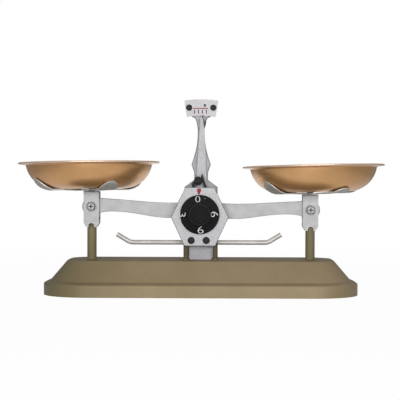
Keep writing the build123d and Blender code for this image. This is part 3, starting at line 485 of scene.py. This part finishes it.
forward = (0, -1, 0)
rightward = (1, 0, 0)
black_moulding = skin(
    "black_moulding", linear(24, 24, 26), linear(34, 33, 36),
    cloud=0.01, metallic=0.0, rough=0.5, spread=0.08, grain=0.0015, dimple=0.0006,
    depth=0.00001, gloss=0.15,
)
knob_front, knob_radius = from_box("zero_screw")
knob_height = 0.0036
knob_edge = 0.0006
shank_radius = 0.0015
shank_length = 0.003
recess_radius = 0.55 * knob_radius
recess_floor = 0.5 * knob_radius
recess_height = knob_height - 0.0004
knob_section = np.vstack([
    [(0, -shank_length), (shank_radius, -shank_length), (shank_radius, 0)],
    [(knob_radius - knob_edge, 0)],
    arc((knob_radius - knob_edge, knob_edge), knob_edge, -90, 90, steps=5)[1:],
    arc((knob_radius - knob_edge, knob_height - knob_edge), knob_edge, 0, 90, steps=5),
    [(recess_radius, knob_height), (recess_floor, recess_height), (0, recess_height)],
])
knob_teeth = 20
steps_per_tooth = 8
tooth_depth = 0.00055
hair = 1e-6
knob_points, knob_faces = lathed(
    knob_section, knob_front + (0, knob_height, 0), rightward, forward,
    count=knob_teeth * steps_per_tooth,
)
from_axis = knob_points - knob_front
from_axis[:, 1] = 0
reach = np.linalg.norm(from_axis, axis=1)
angle = np.arctan2(from_axis[:, 2], from_axis[:, 0])
on_rim = reach > knob_radius - knob_edge - hair
cut_share = on_rim * (0.5 - 0.5 * np.cos(knob_teeth * angle))
knob_points -= (tooth_depth * cut_share / np.maximum(reach, hair))[:, None] * from_axis
knob = mesh_piece("zero_knob", knob_points, knob_faces, black_moulding, "zero_screw", "black_plastic")
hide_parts("zero_screw")


# Stirrups, stems, pivot washers and screws: folded sheet in silver paint on steel stems,
# the left one in the tubes' darker enamel copy. The screws are zinc-plated, painted dark deeper
# than half a millimetre behind the head's face as shade in their cross recesses, and they
# hold the stirrups and their dull washers on the beam's end pins.
def calculated(tree, operation, *values):
    """The result of some arithmetic on one or two values."""
    made = tree.nodes.new("ShaderNodeMath")
    made.operation = operation
    link(tree, *zip(values, made.inputs))
    return made.outputs[0]


stirrup_paint = skin(
    "stirrup_paint", linear(151, 151, 152), linear(165, 165, 166),
    cloud=0.01, metallic=0.2, rough=0.42, spread=0.08, grain=0.0012, dimple=0.0006,
    depth=0.00003,
)
finish_with(stirrup_paint, "stirrup_left", "stirrup_right")
screw_zinc = skin(
    "screw_zinc", linear(168, 167, 166), linear(196, 195, 194),
    cloud=0.0015, metallic=0.2, rough=0.5, spread=0.1, grain=0.001, dimple=0.0004,
    depth=0.00001,
)
# Painted shade: the screws darken deeper than half a millimetre behind the head's face, in the cross
# recesses.
tree = screw_zinc.node_tree
from_middle = calculated(tree, "ABSOLUTE", coordinate(tree, "Y"))
head_face = -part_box("pivot_screws_left")[0][1]
recess_shade_edges = (head_face - 0.0005, head_face - 0.0002)
painted_recess_shade = spread_over(tree, from_middle, 1, 0, recess_shade_edges)
over(screw_zinc, painted_recess_shade, linear(34, 32, 30))
dull_steel = skin(
    "dull_steel", linear(84, 84, 86), linear(120, 120, 122),
    cloud=0.003, metallic=0.6, rough=0.4, spread=0.1, grain=0.001, dimple=0.0004, depth=0.00001,
    gloss=0.3,
)
finish_with(zinc_plate, "stem_right")
finish_with(screw_zinc, "pivot_screws_left", "pivot_screws_right")
finish_with(dull_steel, "pivot_washers_left", "pivot_washers_right")


# Pan carriers: crosses of dull zinc-plated sheet, riveted to the stirrups, with sheared
# edges in a paler finish that is partly bare steel and partly painted highlight. Each arm
# is bent one way only and hugs the pan's round wall at its tip, so a gap shows along its edges.
def pan_frame(side, offset, lean_degrees):
    """The middle of a pan's bottom, and its axes across and along.

    The seat stands over the beam's end, which the rest tilt lowers or lifts, by the
    stirrup's top, the collar, the lift under the leaning rivet head and the sheet of
    the CAD carrier. The pan's middle is offset outwards from the seat.
    """
    lean = math.radians(lean_degrees)
    across = np.array([math.cos(lean), 0, math.sin(lean)])
    along = np.array([-math.sin(lean), 0, math.cos(lean)])
    end_x = side * arm * math.cos(rest_tilt)
    end_z = pivot_z - side * arm * math.sin(rest_tilt)
    rise = stirrup_top + collar + rivet_head * math.sin(lean)
    seat = np.array([end_x, 0, end_z + rise]) + cad_sheet * along
    return seat + side * offset * across, across, along


def cross_outline(reaches, half, corner):
    """Plan outline of a cross of four round-ended arms, a quarter turn apart.

    Each arm gives a half circle of the arm's half width round its tip, a straight side,
    a quarter circle in the corner, and the next arm's straight side.
    """
    blocks = []
    for number, reach in enumerate(reaches):
        beyond = reaches[(number + 1) % 4]
        out = np.linspace(reach - half, half + corner, num=14)[1:]
        back = np.linspace(half + corner, beyond - half, num=14)[1:-1]
        block = np.vstack([
            arc((reach - half, 0), half, -90, 180, steps=25),
            np.column_stack([out, np.full_like(out, half)]),
            arc((half + corner, half + corner), corner, -90, -90, steps=6)[1:],
            np.column_stack([np.full_like(back, half), back]),
        ])
        for turn in range(number):
            block = np.column_stack([-block[:, 1], block[:, 0]])
        blocks.append(block)
    return np.vstack(blocks)


def on_carrier(plan, depth):
    """Points of the carrier at some depth into its sheet, in the pan's own frame.

    A point's reach is the greater of its two distances along the arms. Where it passes
    the pan's flat, the sheet bends up with the pan's wall, and a gap that goes by the
    reach lies between them.
    """
    reach = np.abs(plan).max(axis=1)
    on_first = np.abs(plan[:, 0]) >= np.abs(plan[:, 1])
    way = np.where(on_first[:, None], [1, 0], [0, 1]) * np.sign(plan)
    sine = np.clip((reach - pan_flat) / pan_wall, 0, steepest_sine)
    cosine = np.sqrt(1 - sine**2)
    gap = np.interp(reach, gap_reach, gaps)
    height = pan_wall * (1 - cosine) - gap / cosine
    return np.column_stack([plan + (depth * sine)[:, None] * way, height - depth * cosine])


arm = 0.116
rest_tilt = math.radians(0.8)
stirrup_top = 0.0165
collar = 0.0009
rivet_head = 0.0036
cad_sheet = 0.0015
pan_flat = 0.037
pan_wall = 0.0304
steepest_sine = 0.95
# The gap between carrier and pan by reach from the middle, narrow where they touch.
gap_reach = (0, 0.012, 0.018, 0.024, 0.030, 0.036, 0.042, 0.047, 0.054, 0.062)
gaps = (0.00125, 0.00120, 0.00090, 0.00055, 0.00040, 0.00050, 0.00095, 0.00110, 0.00095, 0.00040)
arm_half = 0.0100
arm_corner = 0.005
carrier_sheet = 0.001
edge = 0.0003
edge_rows = (
    (edge, carrier_sheet), (edge / 4, carrier_sheet - edge / 4), (0, carrier_sheet - edge),
    (0, edge), (edge / 4, edge / 4), (edge, 0),
)
shares = np.linspace(0, 1, num=45)[1:-1]
# Each side has its way, its name, its pan's offset from the seat and its lean in degrees.
sides = ((-1, "left", 0.0028, 0.7), (1, "right", 0.0039, 1.3))
cross_turns = {"left": 30, "right": 33}
cross_reaches = {
    "left": (0.0605, 0.0605, 0.0615, 0.0585),
    "right": (0.0620, 0.0620, 0.0620, 0.0540),
}
plated_sheet = skin(
    "plated_sheet", linear(162, 159, 156), linear(182, 179, 176),
    cloud=0.01, metallic=0.2, rough=0.5, spread=0.08, grain=0.002, dimple=0.0006, depth=0.00001,
)
sheared_edge_highlight = skin(
    "sheared_edge_highlight", linear(196, 192, 186), linear(216, 212, 206),
    cloud=0.004, metallic=0.4, rough=0.42, spread=0.08, grain=0.001, dimple=0.0005,
    depth=0.00001,
)
finish_with(plated_sheet, "carrier_rivet_left", "carrier_rivet_right")
for side, name, offset, lean_degrees in sides:
    centre, across, along = pan_frame(side, offset, lean_degrees)
    back = np.cross(along, across)
    outline = cross_outline(cross_reaches[name], arm_half, arm_corner)
    count = len(outline)
    heading = np.roll(outline, -1, 0) - np.roll(outline, 1, 0)
    heading /= np.linalg.norm(heading, axis=1)[:, None]
    inward = np.column_stack([-heading[:, 1], heading[:, 0]])
    inner = outline + edge * inward
    rows = [on_carrier(share * inner, carrier_sheet) for share in shares]
    rows += [on_carrier(outline + inset * inward, depth) for inset, depth in edge_rows]
    rows += [on_carrier(share * inner, 0) for share in shares[::-1]]
    local = np.vstack([[0, 0, -gaps[0] - carrier_sheet], *rows, [0, 0, -gaps[0]]])
    turn = math.radians(cross_turns[name])
    first_arm = math.cos(turn) * across + math.sin(turn) * back
    next_arm = math.cos(turn) * back - math.sin(turn) * across
    points = centre + local @ np.array([first_arm, next_arm, along])
    faces = ring_faces(len(rows), count)
    carrier = mesh_piece(
        f"carrier_cross_{name}", points, faces, plated_sheet, f"stirrup_{name}", "plated_steel"
    )
    # The sheared edges take a paler finish, partly bare steel and partly painted highlight.
    carrier.data.materials.append(sheared_edge_highlight)
    edge_first = count * (1 + len(shares))
    edge_last = edge_first + count * (len(edge_rows) - 1)
    finish = np.zeros(len(faces), int)
    finish[edge_first:edge_last] = 1
    carrier.data.polygons.foreach_set("material_index", finish)
    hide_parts(f"pan_carrier_{name}")


# Pans: spun sheet with a flat bottom, a round wall and a flange with a rolled bead,
# in a satin bronze-gold lacquer. Spinning leaves faint rings in the metal, and the
# flange is painted paler, a painted highlight for the floor's light on it.
def pan_profile():
    """The pan's section: underside outwards, round the bead, and back inside.

    The sheet's middle line is a flat, an arc, a small bend and a straight flange, and
    both faces stand half the sheet's thickness from it.
    """
    bend = 0.0016
    bead_middle = np.array([0.074, 0.0274])
    bead = 0.001
    first_reach = 0.004
    flange_first = 0.15
    steepest = 82
    flange_rise = math.radians(11.5)
    middle_radius = pan_wall - pan_sheet / 2
    wall_turn = steepest - math.degrees(bend / middle_radius)
    wall = arc((pan_flat, pan_wall), middle_radius, -90, wall_turn, steps=40)
    heading = math.radians(wall_turn)
    outward = np.array([math.sin(heading), -math.cos(heading)])
    bend_middle = wall[-1] + bend * outward
    bend_turn = wall_turn - math.degrees(flange_rise)
    corner = arc(bend_middle, bend, 90 + wall_turn, -bend_turn, steps=8)
    run = np.linspace(first_reach, pan_flat, num=8)[:, None] * [1, 0] + [0, pan_sheet / 2]
    foot = corner[-1]
    line = np.array([math.cos(flange_rise), math.sin(flange_rise)])
    reach = (bead_middle - foot) @ line
    flange = foot + np.linspace(flange_first, 1, num=6)[:, None] * (reach - bead) * line
    middle = np.vstack([run, wall[1:], corner[1:], flange])
    tip = foot + reach * line
    tangent = np.gradient(middle, axis=0)
    tangent /= np.linalg.norm(tangent, axis=1)[:, None]
    normal = np.column_stack([-tangent[:, 1], tangent[:, 0]])
    under = middle - pan_sheet / 2 * normal
    inside = middle + pan_sheet / 2 * normal
    open_half = math.degrees(math.asin(pan_sheet / 2 / bead))
    start = 180 + math.degrees(flange_rise) + open_half
    rim = arc(tip, bead, start, 360 - 2 * open_half, steps=19)
    return np.vstack([[0, 0], under, rim, inside[::-1], [0, pan_sheet]])


def length_of(tree, vector):
    """How long a vector is."""
    made = tree.nodes.new("ShaderNodeVectorMath")
    made.operation = "LENGTH"
    link(tree, (vector, made.inputs[0]))
    return made.outputs["Value"]


def ring_marks(made, centre, rotation, size, depth):
    """Adds turning marks to a skin: rings about the Z axis of a frame, with their radius."""
    tree = made.node_tree
    shader = tree.nodes["Principled BSDF"]
    centred = tree.nodes.new("ShaderNodeMapping")
    centred.vector_type = "TEXTURE"
    centred.inputs["Location"].default_value = centre
    centred.inputs["Rotation"].default_value = rotation
    flat = tree.nodes.new("ShaderNodeVectorMath")
    flat.operation = "MULTIPLY"
    flat.inputs[1].default_value = (1, 1, 0)
    turned = tree.nodes.new("ShaderNodeBump")
    turned.inputs["Distance"].default_value = depth
    radius = length_of(tree, flat.outputs["Vector"])
    link(
        tree,
        (object_place(tree), centred.inputs["Vector"]),
        (centred.outputs["Vector"], flat.inputs[0]),
        (noise(tree, size, grain_detail, radius), turned.inputs["Height"]),
        (tree.nodes["dimples"].outputs["Normal"], turned.inputs["Normal"]),
        (turned.outputs["Normal"], shader.inputs["Normal"]),
    )
    return radius


def pan_lacquer(name, centre, lean):
    """The pans' finish, painted paler on the flange as a highlight for the floor's light on it."""
    made = skin(
        name, linear(196, 151, 102), linear(208, 162, 113),
        cloud=0.03, metallic=0.7, rough=0.32, spread=0.04, grain=0.003, dimple=0.0009,
        depth=0.000005,
    )
    radius = ring_marks(made, centre, (0, -lean, 0), size=0.0011, depth=0.00001)
    # Painted highlight: the flange is paler, standing for the floor's light on its underside.
    flange_light = spread_over(made.node_tree, radius, 0, flange_light_cover, flange_light_edges)
    over(made, flange_light, linear(228, 204, 182))
    return made


pan_sheet = 0.001
flange_light_cover = 0.85
flange_light_edges = (0.0668, 0.0682)
pan_section = pan_profile()
for side, name, offset, lean_degrees in sides:
    centre, across, along = pan_frame(side, offset, lean_degrees)
    lacquer = pan_lacquer(f"bronze_lacquer_{name}", centre, math.radians(lean_degrees))
    points, faces = lathed(pan_section, centre, across, along, count=192)
    pan = mesh_piece(f"pan_dish_{name}", points, faces, lacquer, f"pan_{name}", "bronze_paint")
    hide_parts(f"pan_{name}")


# Face plate: a bevelled hexagon of sheet in silver with a sandy grain, its bevel and cut
# edges in a darker paint that is painted shade, held on spacers by two black screws. A red index is
# painted at its top.
def rounded(corners, radius, steps):
    """A convex outline with each corner replaced by an arc that meets both its sides.

    The arc's middle lies on the line that halves the corner, at the radius over the
    sine of half the corner's angle. Its ends lie along both sides, at the radius over
    the tangent of that half.
    """
    back = np.roll(corners, 1, axis=0) - corners
    ahead = np.roll(corners, -1, axis=0) - corners
    back /= np.linalg.norm(back, axis=1)[:, None]
    ahead /= np.linalg.norm(ahead, axis=1)[:, None]
    half = np.arccos((back * ahead).sum(axis=1)) / 2
    halving = (back + ahead) / np.linalg.norm(back + ahead, axis=1)[:, None]
    middle = corners + (radius / np.sin(half))[:, None] * halving
    start = corners + (radius / np.tan(half))[:, None] * back - middle
    end = corners + (radius / np.tan(half))[:, None] * ahead - middle
    turn = np.arctan2(start[:, 0] * end[:, 1] - start[:, 1] * end[:, 0], (start * end).sum(axis=1))
    angle = turn[:, None] * np.linspace(0, 1, steps)
    x = middle[:, :1] + start[:, :1] * np.cos(angle) - start[:, 1:] * np.sin(angle)
    z = middle[:, 1:] + start[:, :1] * np.sin(angle) + start[:, 1:] * np.cos(angle)
    return np.column_stack([x.ravel(), z.ravel()])


face_paint = skin(
    "face_paint", linear(128, 128, 131), linear(204, 204, 207),
    cloud=0.0010, metallic=0.15, rough=0.5, spread=0.12, grain=0.0008, dimple=0.0006,
    depth=0.00006,
)
# The bevel and cut edges take a darker paint, which is painted shade.
painted_edge_shade = skin(
    "painted_edge_shade", linear(92, 92, 94), linear(132, 132, 134),
    cloud=0.002, metallic=0.2, rough=0.5, spread=0.1, grain=0.0008, dimple=0.0005,
    depth=0.00002,
)
finish_with(zinc_plate, "face_spacers", "face_nuts")
finish_with(black_steel, "face_screws")
face_low, face_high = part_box("face_plate")
face_front, face_back = face_low[1], face_high[1]
face_middle = (face_low[0] + face_high[0]) / 2
top_half = 0.0152
bottom_half = 0.0162
side_height = 0.0815
corner_radius = 0.0012
bevel = 0.0006
face_corners = np.array([
    (face_middle - top_half, face_high[2]), (face_middle + top_half, face_high[2]),
    (face_high[0], side_height), (face_middle + bottom_half, face_low[2]),
    (face_middle - bottom_half, face_low[2]), (face_low[0], side_height),
])
face_outer = rounded(face_corners, corner_radius, steps=6)
inward = (face_middle, side_height) - face_outer
face_inner = face_outer + bevel * inward / np.linalg.norm(inward, axis=1)[:, None]
around = len(face_outer)
face_points = np.vstack([
    facing(*face_inner.T, face_front),
    facing(*face_outer.T, face_front + bevel),
    facing(*face_outer.T, face_back),
])
face_ends = [tuple(range(around))[::-1], tuple(range(2 * around, 3 * around))]
face_faces = face_ends + wall_faces(0, around) + wall_faces(around, around)
face_piece = mesh_piece("face_sheet", face_points, face_faces, face_paint, "base", "face_paint")
face_piece.data.materials.append(painted_edge_shade)
face_piece.data.polygons.foreach_set("material_index", [0, 0] + [1] * (2 * around))
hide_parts("face_plate")
dial_height = 0.0844
dial_middle = (face_middle, dial_height)
index_outline = np.array([
    (-0.0024, 0.0268), (-0.0010, 0.0272), (0.0008, 0.0271), (0.0017, 0.0262), (0.0013, 0.0243),
    (0.0002, 0.0224), (-0.0001, 0.0209), (-0.0021, 0.0209), (-0.0023, 0.0224), (-0.0029, 0.0243),
    (-0.0030, 0.0259),
]) + dial_middle
index_red = skin(
    "index_red", linear(122, 10, 32), linear(150, 22, 46),
    cloud=0.002, metallic=0.0, rough=0.42, spread=0.06, grain=0.001, dimple=0.0004,
    depth=0.00001, gloss=0.2,
)
mesh_piece("face_index", *inked(index_outline, face_front), index_red, "base", "face_paint")

# Dial bush: a short tube of turned brass, pressed into the face plate. The dial's shaft
# turns in it.
turned_brass = skin(
    "turned_brass", linear(181, 150, 84), linear(204, 174, 106),
    cloud=0.005, metallic=1.0, rough=0.3, spread=0.08, grain=0.001, dimple=0.0005,
    depth=0.000008,
)
finish_with(turned_brass, "dial_bush")

# Tare dial: a black moulding with fine turned rings, its grip a little dished and painted
# paler at its edge as a highlight. It has white-filled numbers, their tops towards the centre, and one
# pale index dash.
dial_moulding = skin(
    "dial_moulding", linear(12, 12, 14), linear(18, 18, 20),
    cloud=0.01, metallic=0.0, rough=0.45, spread=0.08, grain=0.0015, dimple=0.0007,
    depth=0.00001, gloss=0.06,
)
dial_front, dial_radius = from_box("dial")
dial_reach = ring_marks(
    dial_moulding, dial_front, (math.radians(90), 0, 0), size=0.0009, depth=0.00003
)
dial_thickness = 0.0092
flange = 0.0026
flange_edge = 0.0007
grip = 0.0115
grip_edge = 0.0014
grip_rim = 0.0094
grip_root = 0.0006
dish = 0.0005
dish_height = dial_thickness - dish
dial_section = np.vstack([
    [(0, 0), (dial_radius - flange_edge, 0)],
    arc((dial_radius - flange_edge, flange_edge), flange_edge, -90, 90, steps=5)[1:],
    arc((dial_radius - flange_edge, flange - flange_edge), flange_edge, 0, 90, steps=5),
    arc((grip + grip_root, flange + grip_root), grip_root, -90, -90, steps=5),
    arc((grip - grip_edge, dial_thickness - grip_edge), grip_edge, 0, 90, steps=7),
    [(grip_rim, dial_thickness), (grip_rim - dish, dish_height), (0, dish_height)],
])
tree = dial_moulding.node_tree
# Painted highlight: a paler ring on the grip's edge.
grip_highlight_reach = spread_over(tree, dial_reach, 0, 1, (grip_rim + 0.0002, grip - 0.0003))
highlight_off_flange = spread_over(tree, dial_reach, 1, 0, (grip, grip + 0.0002))
painted_grip_highlight = calculated(tree, "MULTIPLY", grip_highlight_reach, highlight_off_flange)
over(dial_moulding, painted_grip_highlight, linear(46, 46, 50))
dial_points, dial_faces = lathed(
    dial_section, dial_front + (0, dial_thickness, 0), rightward, forward, count=128
)
dial_piece = mesh_piece("dial_turned", dial_points, dial_faces, dial_moulding, "dial", "black_plastic")
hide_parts("dial")
white_ink = ink_skin("white_ink", linear(214, 214, 216), linear(232, 232, 234), gloss=0.5)
number_face = dial_front[1] + dial_thickness - flange
# Each number has its text, its angle and reach from the dial's middle, how far it is
# turned to the left, its height and its width.
numbers = (
    ("0", 97.2, 0.0162, 180, 0.0061, 0.0050),
    ("3", 179.3, 0.0181, 268, 0.0064, 0.0050),
    ("6", 273.6, 0.0160, 360, 0.0073, 0.0058),
    ("9", 0.8, 0.0153, 92, 0.0078, 0.0054),
)
for text, way, radius, turn, height, width in numbers:
    around = math.radians(way)
    printed(
        f"dial_number_{text}", text, height, width,
        place=np.add(dial_middle, (radius * math.cos(around), radius * math.sin(around))),
        turn=turn, depth=number_face, material=white_ink, body="dial",
        weight=-0.02,
    )
dash_place = np.add(dial_middle, (0.0054, 0.0168))
dash_outline = dash_place + np.array([
    (-0.0008, 0.0004), (0.0008, 0.0001), (0.0008, -0.0004), (-0.0008, -0.0001),
])
dash_ink = ink_skin("dash_ink", linear(120, 120, 124), linear(150, 150, 154))
mesh_piece("dial_dash", *inked(dash_outline, number_face), dash_ink, "dial", "scale_enamel")


# Floor and room: plain white paper, seamless to the horizon as the camera sees it. In
# the object's gloss the floor dims towards the front and the sides, and the room dims
# downwards.
def mixed(tree, share, under, above):
    """One shader laid over another by a share."""
    made = tree.nodes.new("ShaderNodeMixShader")
    link(tree, (share, made.inputs["Fac"]), (under, made.inputs[1]), (above, made.inputs[2]))
    return made.outputs[0]


floor_half = 30.0
paper = (0.7, 0.7, 0.7, 1)
white = (1, 1, 1, 1)
gloss_depths = (-0.3, 0.2)
gloss_sides = (0.15, 0.45)
glow_reaches = (0.3, 1.2)
floor_corners = floor_half * np.array([(-1, -1, 0), (1, -1, 0), (1, 1, 0), (-1, 1, 0)])
floor_mesh = bpy.data.meshes.new("floor")
floor_mesh.from_pydata(floor_corners.tolist(), [], [(0, 1, 2, 3)])
floor = bpy.data.objects.new("floor", floor_mesh)
bpy.context.scene.collection.objects.link(floor)
floor_white = bpy.data.materials.new("floor_white")
floor_white.use_nodes = True
tree = floor_white.node_tree
tree.nodes.clear()
diffuse = tree.nodes.new("ShaderNodeBsdfDiffuse")
diffuse.inputs["Color"].default_value = paper
glow = tree.nodes.new("ShaderNodeEmission")
in_gloss = tree.nodes.new("ShaderNodeEmission")
by_depth = spread_over(tree, coordinate(tree, "Y"), low=0.75, high=1.1, edges=gloss_depths)
from_middle = calculated(tree, "ABSOLUTE", coordinate(tree, "X"))
by_side = spread_over(tree, from_middle, low=1, high=0.3, edges=gloss_sides)
from_origin = length_of(tree, object_place(tree))
by_reach = spread_over(tree, from_origin, low=0.97, high=1, edges=glow_reaches)
rays = tree.nodes.new("ShaderNodeLightPath").outputs
glow_share = calculated(tree, "MULTIPLY", rays["Is Camera Ray"], by_reach)
by_camera = mixed(tree, glow_share, diffuse.outputs[0], glow.outputs[0])
by_gloss = mixed(tree, rays["Is Glossy Ray"], by_camera, in_gloss.outputs[0])
out = tree.nodes.new("ShaderNodeOutputMaterial")
link(
    tree,
    (calculated(tree, "MULTIPLY", by_depth, by_side), in_gloss.inputs["Strength"]),
    (by_gloss, out.inputs["Surface"]),
)
floor_mesh.materials.append(floor_white)

fill_strength = 0.3
room = bpy.data.worlds.new("room")
room.use_nodes = True
bpy.context.scene.world = room
tree = room.node_tree
tree.nodes.clear()
heights = tree.nodes.new("ShaderNodeSeparateXYZ")
fill = tree.nodes.new("ShaderNodeBackground")
fill.inputs["Strength"].default_value = fill_strength
mirror = tree.nodes.new("ShaderNodeBackground")
seen = tree.nodes.new("ShaderNodeBackground")
for background in (fill, mirror, seen):
    background.inputs["Color"].default_value = white
by_height = spread_over(tree, heights.outputs["Z"], low=0.22, high=0.8, edges=(0, 1))
rays = tree.nodes.new("ShaderNodeLightPath").outputs
by_gloss = mixed(tree, rays["Is Glossy Ray"], fill.outputs[0], mirror.outputs[0])
by_camera = mixed(tree, rays["Is Camera Ray"], by_gloss, seen.outputs[0])
out = tree.nodes.new("ShaderNodeOutputWorld")
link(
    tree,
    (tree.nodes.new("ShaderNodeTexCoord").outputs["Generated"], heights.inputs[0]),
    (by_height, mirror.inputs["Strength"]),
    (by_camera, out.inputs["Surface"]),
)


# Lamps: two broad soft boxes in front of the object, one to the left and a slightly
# weaker one further to the right.
def soft_box(name, place, aim, width, height, watts):
    """A rectangular area lamp that faces a point."""
    lamp = bpy.data.lights.new(name, "AREA")
    lamp.shape = "RECTANGLE"
    lamp.size = width
    lamp.size_y = height
    lamp.energy = watts
    lamp_object = bpy.data.objects.new(name, lamp)
    lamp_object.location = place
    towards = Vector(aim) - Vector(place)
    lamp_object.rotation_euler = towards.to_track_quat("-Z", "Y").to_euler()
    bpy.context.scene.collection.objects.link(lamp_object)


object_middle = (0, 0, 0.1)
soft_box("left_box", (-0.3, -1.6, 0.3), object_middle, width=0.8, height=0.6, watts=11)
soft_box("right_box", (0.45, -1.6, 0.28), object_middle, width=0.8, height=0.6, watts=10)

# Camera: nearly level, a little to the right of the middle, and as far away as the
# photograph's perspective asks, with its small lean.
distance = 1.25
azimuth = math.radians(1.0)
tilt = math.radians(89.606)
camera_lean = math.radians(-0.15)
camera_height = 0.108
aim_shift = -0.0010
camera_data = bpy.data.cameras.new("camera")
camera_data.sensor_width = 36.0
camera_data.lens = 105.75
camera_data.clip_end = 100
camera = bpy.data.objects.new("camera", camera_data)
camera.location = (
    distance * math.sin(azimuth) + aim_shift * math.cos(azimuth),
    -distance * math.cos(azimuth) + aim_shift * math.sin(azimuth),
    camera_height,
)
camera.rotation_euler = (tilt, camera_lean, azimuth)
bpy.context.scene.collection.objects.link(camera)
bpy.context.scene.camera = camera
bpy.context.scene.view_settings.view_transform = "Standard"
